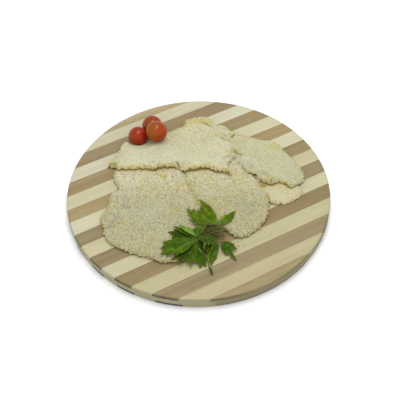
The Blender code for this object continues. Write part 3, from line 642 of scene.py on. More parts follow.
def leaf_material():
    """Green, warmer behind and bluish in front as a painted sheen, with veins and tips, and rims lighter as a
    painted highlight.
    """
    graph = Graph("parsley_leaf", 0.5, 0.02)
    where = graph.place()
    bright = graph.attribute("bright")
    colour = graph.seen_ramp(bright, [(0.0, (42, 42, 6)), (0.3, (40, 66, 4)), (0.6, (66, 94, 10)),
                                      (0.85, (94, 122, 26)), (1.0, (138, 166, 50))])
    # In front the green is tinted bluish in patches as a painted sheen; behind it is warmer.
    front = graph.range(graph.split(where)[1], -50.0, -63.0)
    blue_sheen = graph.times(graph.range(graph.noise(where, 7.0), 0.4, 0.6, 0.1, 0.85), front)
    colour = graph.tinted(graph.math("SUBTRACT", 1.0, front), colour, (1.18, 1.06, 0.7))
    colour = graph.tinted(blue_sheen, colour, (0.77, 1.0, 2.2))
    mottle = graph.noise(where, 2.2, 3.0)
    # Pale bluish patches on the brighter leaflets: a painted sheen.
    painted_sheen = graph.times(bright, graph.range(graph.noise(where, 4.0, 3.0), 0.54, 0.7, 0.0, 0.5))
    tip = graph.times(graph.attribute("tip"), graph.range(mottle, 0.35, 0.6))
    # Lighter veins, rims lighter as a painted highlight, a painted sheen, and brownish tips.
    colour = graph.layered(colour, [(graph.range(mottle, 0.4, 0.7, 0.0, 0.4), (46, 74, 12)),
                                    (graph.times(graph.attribute("vein"), 0.3), (108, 132, 40)),
                                    (graph.times(graph.attribute("edge"), 0.25), (118, 142, 32)),
                                    (painted_sheen, (112, 142, 92)), (graph.times(tip, 0.5), (112, 104, 26))])
    fine = graph.noise(where, 0.8)
    return graph.finish(colour, graph.bump(fine, 0.15, 0.7), graph.range(mottle, 0.3, 0.7, 0.38, 0.55))


def stem_material():
    graph = Graph("parsley_stem", 0.5, 0.15)
    streaks = graph.noise(graph.place(), 1.2, 3.0)
    colour = graph.mix(graph.range(streaks, 0.35, 0.65), srgb(108, 106, 42), srgb(72, 70, 22))
    return graph.finish(colour, graph.bump(streaks, 0.1, 0.6))


def floor_material():
    graph = Graph("studio_floor", 0.9, 0.1)
    speckle = graph.noise(graph.place(), 3.0, 3.0)
    return graph.finish(graph.mix(speckle, (*[0.99 * FLOOR_WHITE] * 3, 1), (*[FLOOR_WHITE] * 3, 1)))


# ---- Meshes ----

def add_mesh(name, vertices, faces, finish, smooth=True):
    """An object from vertices in millimetres and lists of their numbers."""
    mesh = bpy.data.meshes.new(name)
    mesh.from_pydata((np.asarray(vertices) * MM).tolist(), [], [list(map(int, face)) for face in faces])
    return add_object(name, mesh, finish, smooth)


def add_object(name, mesh, finish, smooth=True):
    mesh.validate()
    mesh.materials.append(finish)
    mesh.shade_smooth() if smooth else mesh.shade_flat()
    made = bpy.data.objects.new(name, mesh)
    bpy.context.scene.collection.objects.link(made)
    return made


def paint(mesh, name, values):
    """Writes one number, or three, for each vertex."""
    values = np.asarray(values, float)
    if values.ndim == 1:
        layer = mesh.attributes.new(name, "FLOAT", "POINT")
        layer.data.foreach_set("value", values.astype(np.float32))
    else:
        layer = mesh.attributes.new(name, "FLOAT_COLOR", "POINT")
        full = np.column_stack([values, np.ones(len(values))]).astype(np.float32)
        layer.data.foreach_set("color", full.ravel())


def vectors_of(items, key):
    found = np.empty(len(items) * 3, np.float32)
    items.foreach_get(key, found)
    return found.reshape(-1, 3).astype(float)


def places_of(mesh):
    return vectors_of(mesh.vertices, "co") / MM


def put_places(mesh, places):
    mesh.vertices.foreach_set("co", (places * MM).astype(np.float32).ravel())
    mesh.update()


def tree_of(meshes):
    """A search tree, in millimetres, of several meshes together."""
    vertices, faces = [], []
    for mesh in meshes:
        start = len(vertices)
        vertices += places_of(mesh).tolist()
        faces += [[start + i for i in polygon.vertices] for polygon in mesh.polygons]
    return BVHTree.FromPolygons(vertices, faces)


def top_at(surface, x, y):
    """The height of the highest thing at a place in plan, or None."""
    hit = surface.ray_cast(Vector((x, y, OVERHEAD)), DOWN)[0]
    return None if hit is None else hit.z


def drawn(name, shape):
    """A mesh of a shape drawn in its own units, and its places in them, for put_places to write in metres."""
    mesh = bpy.data.meshes.new(name)
    shape.to_mesh(mesh)
    shape.free()
    return mesh, places_of(mesh) * MM


# ---- Board ----

def board_profile():
    """Distance from the axis and height, along the board's section from its underside to its top."""
    rounding, inner = BOARD_EDGE_ROUNDING, BOARD_RADIUS - FACE_INSET
    middle = BOARD_RADIUS - rounding
    turns = np.radians(np.linspace(0, 90, ROUNDING_PLACES))
    lower = [(middle + rounding * math.sin(t), rounding - rounding * math.cos(t)) for t in turns]
    upper = [(middle + rounding * math.cos(t), BOARD_TOP - rounding + rounding * math.sin(t)) for t in turns]
    return [(inner, 0.0), *lower, *[(BOARD_RADIUS, top) for top in PLY_TOPS], *upper, (inner, BOARD_TOP)]


def build_board(finish):
    """A disc turned from one profile, cut by fine grooves where its strips are glued."""
    disc = bmesh.new()
    around = [2 * math.pi * k / BOARD_SIDES for k in range(BOARD_SIDES)]
    rings = [[disc.verts.new((away * math.cos(a), away * math.sin(a), z)) for a in around]
             for away, z in board_profile()]
    for lower, upper in zip(rings, rings[1:]):
        for k in range(BOARD_SIDES):
            j = (k + 1) % BOARD_SIDES
            disc.faces.new((lower[k], lower[j], upper[j], upper[k]))
    disc.faces.new(reversed(rings[0]))
    disc.faces.new(rings[-1])
    turn = math.radians(STRIP_TURN)
    across = Vector((-math.sin(turn), math.cos(turn), 0))
    grooves = []
    for middle in SEAMS:
        for offset in (-SEAM_WIDTH / 2, 0.0, SEAM_WIDTH / 2):
            everything = [*disc.verts, *disc.edges, *disc.faces]
            cut = bmesh.ops.bisect_plane(disc, geom=everything, plane_co=across * (middle + offset),
                                         plane_no=across, dist=1e-5)
            if offset == 0.0:
                grooves += [item for item in cut["geom_cut"] if isinstance(item, bmesh.types.BMVert)]
    for vertex in grooves:
        if vertex.is_valid and vertex.co.z > BOARD_TOP - 1e-3:
            vertex.co.z -= SEAM_DEPTH
    mesh, places = drawn("board_wood", disc)
    away, height = np.hypot(places[:, 0], places[:, 1]), places[:, 2]
    rim = smoothstep(away, *(BOARD_RADIUS - inset for inset in RIM_BAND))
    paint(mesh, "rim", rim * (height < BOARD_TOP - RIM_LEAST_DEPTH))
    level = away < BOARD_RADIUS - BOARD_EDGE_ROUNDING - 0.1
    paint(mesh, "seam", level * (np.abs(height - BOARD_TOP + SEAM_DEPTH) < 0.3 * SEAM_DEPTH))
    put_places(mesh, places)
    board = add_object("board_wood", mesh, finish)
    board.data.set_sharp_from_angle(angle=math.radians(30))
    return board


# ---- Cutlets ----

def plan_outline(mesh):
    """Places round a mesh's outline as seen from above, in order: where its top meets its underside."""
    shape = bmesh.new()
    shape.from_mesh(mesh)
    bmesh.ops.remove_doubles(shape, verts=shape.verts, dist=1e-6)
    shape.normal_update()
    beside = {}
    for edge in shape.edges:
        if len(edge.link_faces) == 2:
            first, second = (face.normal.z for face in edge.link_faces)
            if first * second < 0:
                one, other = edge.verts
                beside.setdefault(one.index, []).append(other.index)
                beside.setdefault(other.index, []).append(one.index)
    shape.verts.ensure_lookup_table()
    start = max(beside, key=lambda i: shape.verts[i].co.x)
    loop, here, before = [], start, None
    while True:
        loop.append(shape.verts[here].co / MM)
        onward = [i for i in beside[here] if i != before]
        before, here = here, onward[0]
        if here == start:
            break
    shape.free()
    return np.array(loop)


def lumps_mesh(places, sizes, draws):
    """Small rough balls as one mesh, in metres, to be melted into a coating."""
    shape = bmesh.new()
    for place, size in zip(places, sizes):
        made = bmesh.ops.create_icosphere(shape, subdivisions=1, radius=size * MM)
        stretch = draws.uniform(0.75, 1.3, 3)
        for vertex in made["verts"]:
            vertex.co = Vector(vertex.co * Vector(stretch)) + Vector(place) * MM
    return shape


def scatter_lumps(look, outline, turn, surface, draws):
    """Places and sizes of the lumps of a cutlet's crusts and of its edge's fringe."""
    places, sizes = [], []
    for line, size, count in look["crusts"]:
        path = smooth_line(line, 0.5)
        for _ in range(count):
            x, y = path[draws.integers(len(path))] + draws.normal(0, size * 0.6, 2)
            top = top_at(surface, x, y)
            if top is not None:
                places.append((x, y, top + draws.uniform(-0.3, 0.5) * size))
                sizes.append(size * draws.uniform(0.6, 1.1))
    fringe = smooth_line(outline, FRINGE_STEP, closed=True)
    for here, there in zip(fringe, np.roll(fringe, -1, 0)):
        if draws.random() < look["fringe"]:
            along = (there - here)[:2]
            outward = np.array([along[1], -along[0]]) / (np.hypot(*along) + 1e-9)
            outward *= turn * draws.uniform(-1.1, 0.35)
            places.append((here[0] + outward[0], here[1] + outward[1], here[2] + draws.uniform(-0.6, 0.3)))
            sizes.append(draws.uniform(0.7, 1.35))
    return places, sizes


def melted(name, shape):
    """A shape of overlapping parts as one skin with an even grid of vertices."""
    rough = bpy.data.meshes.new(name + "_rough")
    shape.to_mesh(rough)
    shape.free()
    block = bpy.data.objects.new(name + "_rough", rough)
    bpy.context.scene.collection.objects.link(block)
    remesh = block.modifiers.new("melt", "REMESH")
    remesh.mode = "VOXEL"
    remesh.voxel_size = VOXEL * MM
    bpy.context.view_layer.update()
    mesh = bpy.data.meshes.new_from_object(block.evaluated_get(bpy.context.evaluated_depsgraph_get()))
    bpy.data.objects.remove(block)
    return mesh


def pulled(flat, pulls):
    """How far places in plan are moved by a cutlet's pulls."""
    shift = np.zeros((len(flat), 2))
    for line, reach, way in pulls:
        shift += fade(distance_to_line(flat, line), 0.3 * reach, reach)[:, None] * np.array(way)
    return shift


def edge_profile(inside, low, width):
    """A slab's thickness, as a share of its full one, at a distance inside its edge."""
    return low + (1 - low) * np.sqrt(1 - (1 - np.clip(inside / width, 0, 1)) ** 2)


def edge_near(places, fine, turn):
    """Each place's nearest number on a fine outline and its distance, and the way out at each number."""
    finder = KDTree(len(fine))
    for i, place in enumerate(fine):
        finder.insert((place[0], place[1], 0), i)
    finder.balance()
    found = [finder.find((x, y, 0)) for x, y, z in places]
    along = np.roll(fine, -3, 0) - np.roll(fine, 3, 0)
    outward = np.column_stack([along[:, 1], -along[:, 0]]) * turn
    outward /= np.linalg.norm(outward, axis=1)[:, None] + 1e-9
    _, nearest, inside = zip(*found)
    return np.array(nearest), np.array(inside), outward


def edge_drop(fine, outward, surface, below):
    """How far each place of a cutlet's outline has to come down to rest on what lies below it."""
    drop = np.zeros(len(fine))
    for i, (place, out) in enumerate(zip(fine, outward)):
        x, y = place[:2] - EDGE_FOOT * out
        under = surface.ray_cast(Vector((x, y, 0)), UP)[0]
        if under is not None:
            support = below.ray_cast(under + 0.4 * UP, DOWN)[0]
            if support is not None:
                drop[i] = max(under.z - support.z - EDGE_GAP, 0)
    reach = int(EDGE_SMOOTHING / OUTLINE_STEP)
    around = np.concatenate([drop[-reach:], drop, drop[:reach]])
    return np.convolve(around, np.ones(2 * reach + 1) / (2 * reach + 1), "valid")


def build_cutlet(name, look, finish, below, above):
    """The CAD cutlet with lumps melted on, its edge made ragged and its coating rough.

    below is a search tree of what it lies on, and above the outlines of the cutlets over it. Returns the
    piece, and how much each vertex belongs to an edge that doesn't merge with another cutlet.
    """
    seed = look["seed"]
    draws = np.random.default_rng(seed)
    cad_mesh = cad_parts[name].data
    outline = plan_outline(cad_mesh)
    ahead = np.roll(outline, -1, 0)
    turn = 1 if (outline[:, 0] * ahead[:, 1] - ahead[:, 0] * outline[:, 1]).sum() > 0 else -1
    surface = tree_of([cad_mesh])
    shape = lumps_mesh(*scatter_lumps(look, outline, turn, surface, draws), draws)
    shape.from_mesh(cad_mesh)
    mesh = melted(name, shape)

    places, normals = places_of(mesh), vectors_of(mesh.vertex_normals, "vector")
    flat = places[:, :2]  # a view, so it follows every move of the places
    fine = smooth_line(outline, OUTLINE_STEP, closed=True)
    nearest, inside, outward = edge_near(places, fine, turn)
    near_edge = fade(inside, 0.5, 4.5)
    drop = edge_drop(fine, outward, surface, below)[nearest] * fade(inside, 1.5, EDGE_REACH)
    waver = 0.6 * noise(places, 4.5, seed) + 0.6 * noise(places, 2.4, seed + 1)
    waver += 0.45 * noise(places, 1.5, seed + 5)
    flat += pulled(flat, look["pulls"]) + outward[nearest] * (look["ragged"] * waver * near_edge)[:, None]
    upright = edge_profile(inside, *UPRIGHT_EDGE) - edge_profile(inside, *CAD_EDGE)
    places[:, 2] += look["upright"] * FULL_THICKNESS * upright * smoothstep(normals[:, 2], -0.35, 0.2)

    upper = smoothstep(normals[:, 2], -0.2, 0.4)
    clumps, crumbs = noise(places, 3.6, seed + 2), noise(places, 1.9, seed + 3)
    relief = 0.3 * noise(places, 11.0, seed + 4) + 0.14 * clumps + 0.14 * look["speck"] * crumbs
    relief += look["ragged"] * near_edge * (0.48 * clumps + 0.54 * crumbs)
    relief += 0.1 * noise(places, 1.2, seed + 6)
    settle = np.zeros(len(places))
    for line, reach, depth in look["settles"]:
        away = distance_to_line(flat, line) + 0.2 * reach * clumps
        settle = np.maximum(settle, depth * fade(away, 0.5 * reach, reach))
    drop += settle * fade(inside, 0.5, SETTLE_REACH)
    quiet = np.ones(len(places))
    for other in CUTLETS.values():
        for line, reach, _ in other["settles"]:
            quiet = np.minimum(quiet, smoothstep(distance_to_line(flat, line), 0.5 * reach, 1.1 * reach))

    # Yellow egg along the edge; the brown mask starts as painted shade in the relief's hollows.
    masks = {"yellow": look["edge"] * fade(inside + 1.2 * clumps, 0.3, 3.2) * (0.3 + 0.7 * quiet),
             "grey": np.zeros(len(places)), "pale": np.zeros(len(places)),
             "brown_and_shade": smoothstep(-(0.5 * clumps + 0.6 * crumbs), 0.3, 0.75) * 0.25 * look["speck"]}

    def stain(key, strength):
        masks[key] = np.maximum(masks[key], strength)

    # Painted shade: steep, downward sides near the edge turn brown and dark.
    stain("brown_and_shade", EDGE_BROWN_SHADE * near_edge * smoothstep(-normals[:, 2], -0.3, 0.3))
    sink = np.zeros(len(places))
    for line, width, depth in look["creases"]:
        away = distance_to_line(flat, line, 0.4)
        sink += depth * np.exp(-((away / width) ** 2)) * upper
        # A narrow crease is brown and dark too: painted shade.
        stain("brown_and_shade", np.exp(-((away / (width * 0.8)) ** 2)) * min(depth / 2, 1) * (width < FINE_CREASE))
    # Painted warm shade: yellow and brown just beside the edges of the cutlets lying over this one.
    for other in above:
        away = distance_to_line(flat, other, closed=True) + 0.5 * clumps
        stain("yellow", 0.7 * fade(away, 0.8, 3.2) * quiet)
        stain("brown_and_shade", 0.6 * fade(away, 0.5, 2.2) * quiet)
    for key, line, reach, strength in look["stains"]:
        away = distance_to_line(flat, line) + 0.3 * reach * clumps
        stain(key, strength * fade(away, 0.35 * reach, reach))

    places += normals * (relief * (0.4 + 0.6 * upper))[:, None]
    places[:, 2] -= sink + drop
    for line, reach, height in look["lifts"]:
        near = fade(inside, 2.0, EDGE_REACH) * fade(distance_to_line(flat, line), 0.3 * reach, reach)
        places[:, 2] += height * near
    put_places(mesh, places)
    behind = places[:, 1] + 5 * noise(places, 19.0, FRONT_DARKENING_SEED)
    paint(mesh, "browned", look["browned"] * fade(behind, FRONT_DARKENING_TO, FRONT_DARKENING_FROM))
    paint(mesh, "pale", np.clip(masks["pale"], 0, 1))
    paint(mesh, "stain", np.column_stack([np.clip(masks[key], 0, 1) for key in ("yellow", "grey", "brown_and_shade")]))
    return add_object(name + "_crumbed", mesh, finish), near_edge * quiet


# ---- Tomatoes ----

def build_tomato(name, lean, seed, finish):
    """A ball with faint lobes and a dimple at its stem end, fitted to the CAD tomato's box."""
    low, high = (Vector(corner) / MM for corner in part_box(name))
    ball = bmesh.new()
    bmesh.ops.create_uvsphere(ball, u_segments=TOMATO_SIDES, v_segments=TOMATO_RINGS, radius=1.0)
    mesh, places = drawn(name + "_skin", ball)
    turn = np.arctan2(places[:, 1], places[:, 0])
    across = np.hypot(places[:, 0], places[:, 1])
    top = smoothstep(places[:, 2], -0.2, 1.0)
    places *= (1 - LOBE_DEPTH * top * across * (1 + np.cos(LOBES * turn)))[:, None]
    uneven, length = TOMATO_UNEVEN
    places *= (1 + uneven * noise(places, length, seed))[:, None]
    pole = np.exp(-((across / DIMPLE_RADIUS) ** 2)) * (places[:, 2] > 0)
    places[:, 2] -= DIMPLE_DEPTH * pole
    turned = places @ np.array(Matrix.Rotation(math.radians(lean), 3, "X").transposed())
    least, most = turned.min(0), turned.max(0)
    put_places(mesh, np.array(low) + (turned - least) / (most - least) * np.array(high - low))
    paint(mesh, "pole", pole)
    return add_object(name + "_skin", mesh, finish)


# ---- Parsley ----

def serration(t, rising):
    """Height from 0 to 1 of a lobe's flank over its chord: teeth that point at the tip."""
    t = t if rising else 1 - t
    height = 0.0
    for peak in TOOTH_PLACES:
        if peak - TOOTH_REACH < t <= peak:
            height = max(height, (t - peak + TOOTH_REACH) / TOOTH_REACH)
        elif peak < t < peak + TOOTH_BACK:
            height = max(height, 1 - (t - peak) / TOOTH_BACK)
    return height


def leaf_outline(base, tips, notches):
    """Places round a fan of pointed and toothed lobes, in order, from the base and back to it."""
    clockwise = (tips[0] - base).cross(tips[-1] - base).z < 0
    outward = Vector((0, 0, 1 if clockwise else -1))
    corners = [base.copy()]

    def shoulder(tip, side):
        reach = tip - base
        return base + reach * SHOULDER[0] + (side * outward).cross(reach) * SHOULDER[1]

    def go(target, bulge, rising=None):
        """Adds places from the last corner to the target along a line that bulges outwards."""
        start = corners[-1].copy()
        chord = target - start
        sideways = outward.cross(chord.normalized())
        steps = max(int(chord.length / LEAF_STEP), 2)
        for k in range(1, steps + 1):
            t = k / steps
            swell = math.sin(math.pi * t) * bulge * chord.length
            if rising is not None and k < steps:
                full = min(chord.length / FULL_TOOTH_CHORD, MOST_TOOTH)
                swell += TOOTH_HEIGHT * serration(t, rising) * full
            corners.append(start + chord * t + sideways * swell)

    go(shoulder(tips[0], 1), SHOULDER_BULGE)
    for index, tip in enumerate(tips):
        go(tip, LOBE_BULGE, True)
        if index + 1 < len(tips):
            middle = (tip + tips[index + 1]) / 2
            go(base.lerp(middle, notches[index]), LOBE_BULGE, False)
    go(shoulder(tips[-1], -1), LOBE_BULGE, False)
    go(base.copy(), SHOULDER_BULGE)
    return corners[:-1]


def inside_outline(x, y, outline):
    """Whether a place in plan is inside a closed outline."""
    found = False
    for here, there in zip(outline, outline[1:] + outline[:1]):
        if (here.y > y) != (there.y > y):
            if x < here.x + (y - here.y) / (there.y - here.y) * (there.x - here.x):
                found = not found
    return found


def rest_height(surface, x, y, clearance):
    """The least height over the board's top that is clear of what lies at a place in plan."""
    top = top_at(surface, x, y)
    return (BOARD_TOP if top is None else top) - BOARD_TOP + clearance


def leaf_mesh(bright, notches, places, surface, draws):
    """Vertices, faces, and vein, edge, bright and tip values of one leaflet, folded along its veins."""
    base, *tips = (Vector(place) for place in places)
    outline = leaf_outline(base, tips, notches)
    border = np.array([corner.xy for corner in outline])

    def to_rim(x, y):
        return float(np.hypot(*(border - (x, y)).T).min())

    low, high = border.min(0), border.max(0)
    flat = [corner.xy for corner in outline]
    for number, y in enumerate(np.arange(low[1], high[1], LEAF_GRID * ROW_SPACING)):
        for x in np.arange(low[0] + LEAF_GRID / 2 * (number % 2), high[0], LEAF_GRID):
            if inside_outline(x, y, outline) and to_rim(x, y) > 0.6 * LEAF_STEP:
                flat.append(Vector((x, y)))
    flat, _, faces, *_ = delaunay_2d_cdt(flat, [], [list(range(len(outline)))], 1, 1e-4)

    lobes = [(tip - base, bright + draws.uniform(-BRIGHT_SPREAD, BRIGHT_SPREAD)) for tip in tips]
    droop = draws.uniform(*DROOP_RANGE)
    vertices, values = [], []
    for spot in flat:
        offset = spot - base.xy
        best = None
        for axis, light in lobes:
            way = axis.xy.normalized()
            along = min(max(offset.dot(way), 0.0), axis.xy.length)
            off = (offset - way * along).length
            if best is None or off < best[0]:
                best = (off, along, axis, light)
        off, along, axis, light = best
        share = along / axis.xy.length
        rim = to_rim(spot.x, spot.y)
        half = off + rim
        fold = VEIN_FOLD * ((off / max(half, 0.3)) ** 0.8 - 0.45) * min(along / 5, 1.0) * min(half / 2.0, 1.0)
        z = base.z + axis.z * share + fold - TIP_DROOP * droop * share**3
        vertices.append((spot.x, spot.y, max(z, rest_height(surface, spot.x, spot.y, LEAF_CLEARANCE))))
        middle_vein = math.exp(-((off / VEIN_WIDTH) ** 2)) * (1 - 0.4 * share)
        side_vein = 0.6 * math.exp(-((((along - 0.9 * off) / SIDE_VEIN_STEP) % 1.0 - 0.5) / 0.13) ** 2)
        # a painted highlight along the leaflet's rim
        edge = math.exp(-((rim / RIM_HIGHLIGHT_WIDTH) ** 2))
        values.append((max(middle_vein, side_vein), edge, light, max(share - TIP_FROM, 0) / (1 - TIP_FROM)))
    return vertices, faces, values


def build_leaves(surface, finish):
    """The sprig's leaflets as one piece, none of them lower than what is under them."""
    draws = np.random.default_rng(LEAF_SEED)
    vertices, faces, values = [], [], []
    for bright, notches, places in LEAFLETS:
        made = leaf_mesh(bright, notches, places, surface, draws)
        start = len(vertices)
        vertices += made[0]
        faces += [[start + i for i in face] for face in made[1]]
        values += made[2]
    vertices = np.array(vertices) + (0, 0, BOARD_TOP)
    vertices[:, 2] += 0.25 * noise(vertices, 2.4, LEAF_SEED + 6) + 0.35 * noise(vertices, 6.0, LEAF_SEED + 7)
    leaves = add_mesh("parsley_leaves", vertices, faces, finish)
    values = np.array(values)
    values[:, 2] += 0.15 * noise(vertices, 4.0, LEAF_SEED + 8)
    for index, name in enumerate(("vein", "edge", "bright", "tip")):
        paint(leaves.data, name, values[:, index])
    thick = leaves.modifiers.new("thickness", "SOLIDIFY")
    thick.thickness = LEAF_THICKNESS * MM
    thick.offset = 0.0
    return leaves


def build_stems(surface, finish):
    """The sprig's stems: ridged tubes that get thinner towards their ends."""
    vertices, faces = [], []
    for number, line in enumerate(STEMS):
        path = smooth_line(line, STEM_STEP)
        start = len(vertices)
        for i, place in enumerate(path):
            along = Vector(path[min(i + 1, len(path) - 1)] - path[max(i - 1, 0)]).normalized()
            across = along.cross(UP).normalized()
            up = across.cross(along)
            share = i / (len(path) - 1)
            radius = STEM_RADIUS * (1 - 0.3 * share) * (1 + 0.1 * math.sin(0.9 * i + number))
            height = max(place[2], rest_height(surface, place[0], place[1], radius))
            centre = Vector((place[0], place[1], BOARD_TOP + height))
            for k in range(STEM_SIDES):
                turn = 2 * math.pi * k / STEM_SIDES
                ridge = radius * (1 + 0.1 * math.cos(STEM_RIDGES * turn))
                vertices.append(centre + ridge * (math.cos(turn) * across + math.sin(turn) * up))
        for i in range(len(path) - 1):
            for k in range(STEM_SIDES):
                j = (k + 1) % STEM_SIDES
                a, b = start + i * STEM_SIDES + k, start + i * STEM_SIDES + j
                faces.append((a, b, b + STEM_SIDES, a + STEM_SIDES))
        faces.append([start + k for k in reversed(range(STEM_SIDES))])
        faces.append([len(vertices) - STEM_SIDES + k for k in range(STEM_SIDES)])
    return add_mesh("parsley_stems", vertices, faces, finish)


# ---- Loose crumbs ----

def grain_places(mesh, count, cover, draws, share=None):
    """Random places on a mesh's upper side where nothing lies over it, with the normals there.

    share says how likely each vertex is, and lets them lie on steep sides too.
    """
    triangles = np.array([polygon.vertices[:3] for polygon in mesh.polygons])
    corners = places_of(mesh)
    first, second, third = (corners[triangles[:, k]] for k in range(3))
    normals = np.cross(second - first, third - first)
    areas = np.linalg.norm(normals, axis=1) + 1e-12
    normals /= areas[:, None]
    if share is None:
        chance = areas * smoothstep(normals[:, 2], 0.0, 0.5)
    else:
        chance = areas * smoothstep(normals[:, 2], -0.3, 0.2) * share[triangles].mean(1) ** 2
    picked = draws.choice(len(triangles), size=count, p=chance / chance.sum())
    a, b = draws.random(count), draws.random(count)
    flip = a + b > 1
    a[flip], b[flip] = 1 - a[flip], 1 - b[flip]
    places = first[picked] + (second - first)[picked] * a[:, None] + (third - first)[picked] * b[:, None]
    keep = np.array([cover.ray_cast(Vector(place) + UP * GRAIN_HEADROOM, UP)[0] is None for place in places])
    return places[keep], normals[picked][keep]


def board_places(middle_x, middle_y, reach, count, cover, draws):
    """Random places within reach of a place on the board, where it is bare, with the normals there."""
    angle, away = draws.uniform(0, 2 * math.pi, count), reach * np.sqrt(draws.random(count))
    height = np.full(count, BOARD_TOP + BOARD_GRAIN_HEIGHT)
    spots = np.column_stack([middle_x + away * np.cos(angle), middle_y + away * np.sin(angle), height])
    spots = spots[np.array([top_at(cover, x, y) is None for x, y, _ in spots])]
    return spots, np.tile((0.0, 0.0, 1.0), (len(spots), 1))


def turning(turns):
    """Rotation matrices (n, 3, 3) from quaternions (n, 4)."""
    w, x, y, z = (turns / np.linalg.norm(turns, axis=1)[:, None]).T
    return np.array([[1 - 2 * (y * y + z * z), 2 * (x * y - z * w), 2 * (x * z + y * w)],
                     [2 * (x * y + z * w), 1 - 2 * (x * x + z * z), 2 * (y * z - x * w)],
                     [2 * (x * z - y * w), 2 * (y * z + x * w), 1 - 2 * (x * x + y * y)]]).transpose(2, 0, 1)


def build_grains(cutlets, edges, cover, finish):
    """Loose crumbs: small rough lumps sunk a little into the coating, and some on the board."""
    draws = np.random.default_rng(GRAIN_SEED)
    places, normals, least, size = [], [], [], []
    for name, piece in cutlets.items():
        on_top, on_edge = GRAINS[name]
        for share, count, sizes, tone in ((None, on_top, GRAIN_SIZE, PALE_GRAINS.get(name, 0.0)),
                                          (edges[name], on_edge, EDGE_GRAIN_SIZE, EDGE_GRAIN_TONE)):
            found = grain_places(piece.data, count, cover, draws, share)
            places.append(found[0])
            normals.append(found[1])
            least += [tone] * len(found[0])
            size += list(draws.uniform(*sizes, len(found[0])))
    for patch in BOARD_GRAINS:
        found = board_places(*patch, cover, draws)
        places.append(found[0])
        normals.append(found[1])
    places, normals = np.vstack(places), np.vstack(normals)
    count = len(places)
    on_board = count - len(size)
    size = np.array(size + list(draws.uniform(*GRAIN_SIZE, on_board)))
    least = np.array(least + [0.0] * on_board)
    corners = np.array([(1, 0, 0), (-1, 0, 0), (0, 1, 0), (0, -1, 0), (0, 0, 1), (0, 0, -1)], float)
    sides = np.array([(0, 2, 4), (2, 1, 4), (1, 3, 4), (3, 0, 4), (2, 0, 5), (1, 2, 5), (3, 1, 5), (0, 3, 5)])
    matrices = turning(draws.normal(size=(count, 4)))
    stretched = corners[None] * draws.uniform(0.6, 1.5, (count, 6, 1))
    stretched = stretched * draws.uniform(0.7, 1.3, (count, 1, 3))
    lumps = np.einsum("nij,nkj->nki", matrices, stretched) * size[:, None, None]
    lumps += (places + normals * (size * GRAIN_SINK)[:, None])[:, None, :]
    faces = sides[None] + len(corners) * np.arange(count)[:, None, None]
    tone = np.repeat(least + (1 - least) * draws.random(count), len(corners))
    grains = add_mesh("loose_crumbs", lumps.reshape(-1, 3), faces.reshape(-1, 3), finish, smooth=False)
    paint(grains.data, "tone", tone)
    return grains


# ---- Stage ----

def build_stage():
    half = FLOOR_HALF
    floor = add_mesh("studio_floor", [(-half, -half, 0), (half, -half, 0), (half, half, 0), (-half, half, 0)],
                     [(0, 1, 2, 3)], floor_material())

    lamp = bpy.data.lights.new("key", "AREA")
    lamp.shape = "ELLIPSE"
    lamp.size, lamp.size_y = (side * MM for side in KEY_SIZE)
    lamp.energy = KEY_POWER
    lamp.color = KEY_COLOUR
    key = bpy.data.objects.new("key", lamp)
    key.location = Vector(KEY_PLACE) * MM
    key.rotation_euler = key.location.to_track_quat("Z", "Y").to_euler()
    bpy.context.scene.collection.objects.link(key)

    world = bpy.data.worlds.new("soft_sky")
    bpy.context.scene.world = world
    world.use_nodes = True
    sky = Nodes(world.node_tree)
    _, y, z = sky.split(sky.node("TexCoord", "Generated"))
    upwards = sky.range(z, 0.0, 1.0, SKY_SIDE, SKY_TOP)
    frontwards = sky.range(y, -1.0, 1.0, 1 + SKY_FRONT, 1 - SKY_FRONT)
    background = sky.tree.nodes["Background"]
    sky.set(background, "Strength", sky.times(upwards, frontwards))
    sky.set(background, "Color", SKY_COLOUR)


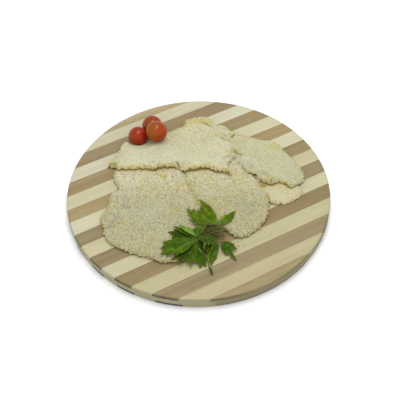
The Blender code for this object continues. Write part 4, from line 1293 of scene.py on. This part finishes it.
def build_camera():
    down, lean = math.radians(CAMERA_DOWN), math.radians(CAMERA_LEAN)
    ahead = Vector((0, math.cos(down), -math.sin(down)))
    level = Vector((1, 0, 0))
    upright = level.cross(ahead)
    right = math.cos(lean) * level + math.sin(lean) * upright
    up = math.cos(lean) * upright - math.sin(lean) * level
    lens = bpy.data.cameras.new("camera")
    lens.lens = CAMERA_LENS
    lens.sensor_width = SENSOR_WIDTH
    lens.clip_start, lens.clip_end = CAMERA_SEES
    camera = bpy.data.objects.new("camera", lens)
    turned = Matrix((right, up, -ahead)).transposed().to_4x4()
    camera.matrix_world = Matrix.Translation(Vector(CAMERA_PLACE) * MM) @ turned
    bpy.context.scene.collection.objects.link(camera)
    bpy.context.scene.camera = camera
    bpy.context.scene.view_settings.view_transform = "Standard"
    bpy.context.scene.view_settings.look = "None"


def attach(piece, slot, *nodes):
    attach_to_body(piece, "root")
    if nodes:
        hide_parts(*nodes)


def main():
    build_camera()
    build_stage()
    board = build_board(wood_material())
    attach(board, "board", "board")
    outlines = []
    for name, look in CUTLETS.items():
        outline = plan_outline(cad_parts[name].data)
        outline[:, :2] += pulled(outline[:, :2], look["pulls"])
        outlines.append(outline)
    cutlets, edges = {}, {}
    for number, (name, look) in enumerate(CUTLETS.items()):
        below = tree_of([board.data] + [piece.data for piece in cutlets.values()])
        finish = cutlet_material(name + "_coating", look)
        cutlets[name], edges[name] = build_cutlet(name, look, finish, below, outlines[number + 1:])
        attach(cutlets[name], "crumb", name)
    cover = tree_of([piece.data for piece in cutlets.values()])
    attach(build_grains(cutlets, edges, cover, grain_material()), "crumb")
    for name, (colours, lean, seed) in TOMATOES.items():
        slot = "tomato_red" if name == "tomato_red" else "tomato_orange"
        low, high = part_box(name)
        finish = tomato_material(name + "_flesh", *colours, (low.x + high.x) / 2 / MM)
        attach(build_tomato(name, lean, seed, finish), slot, name)
    attach(build_leaves(cover, leaf_material()), "parsley", "parsley")
    attach(build_stems(cover, stem_material()), "parsley", "parsley")


main()
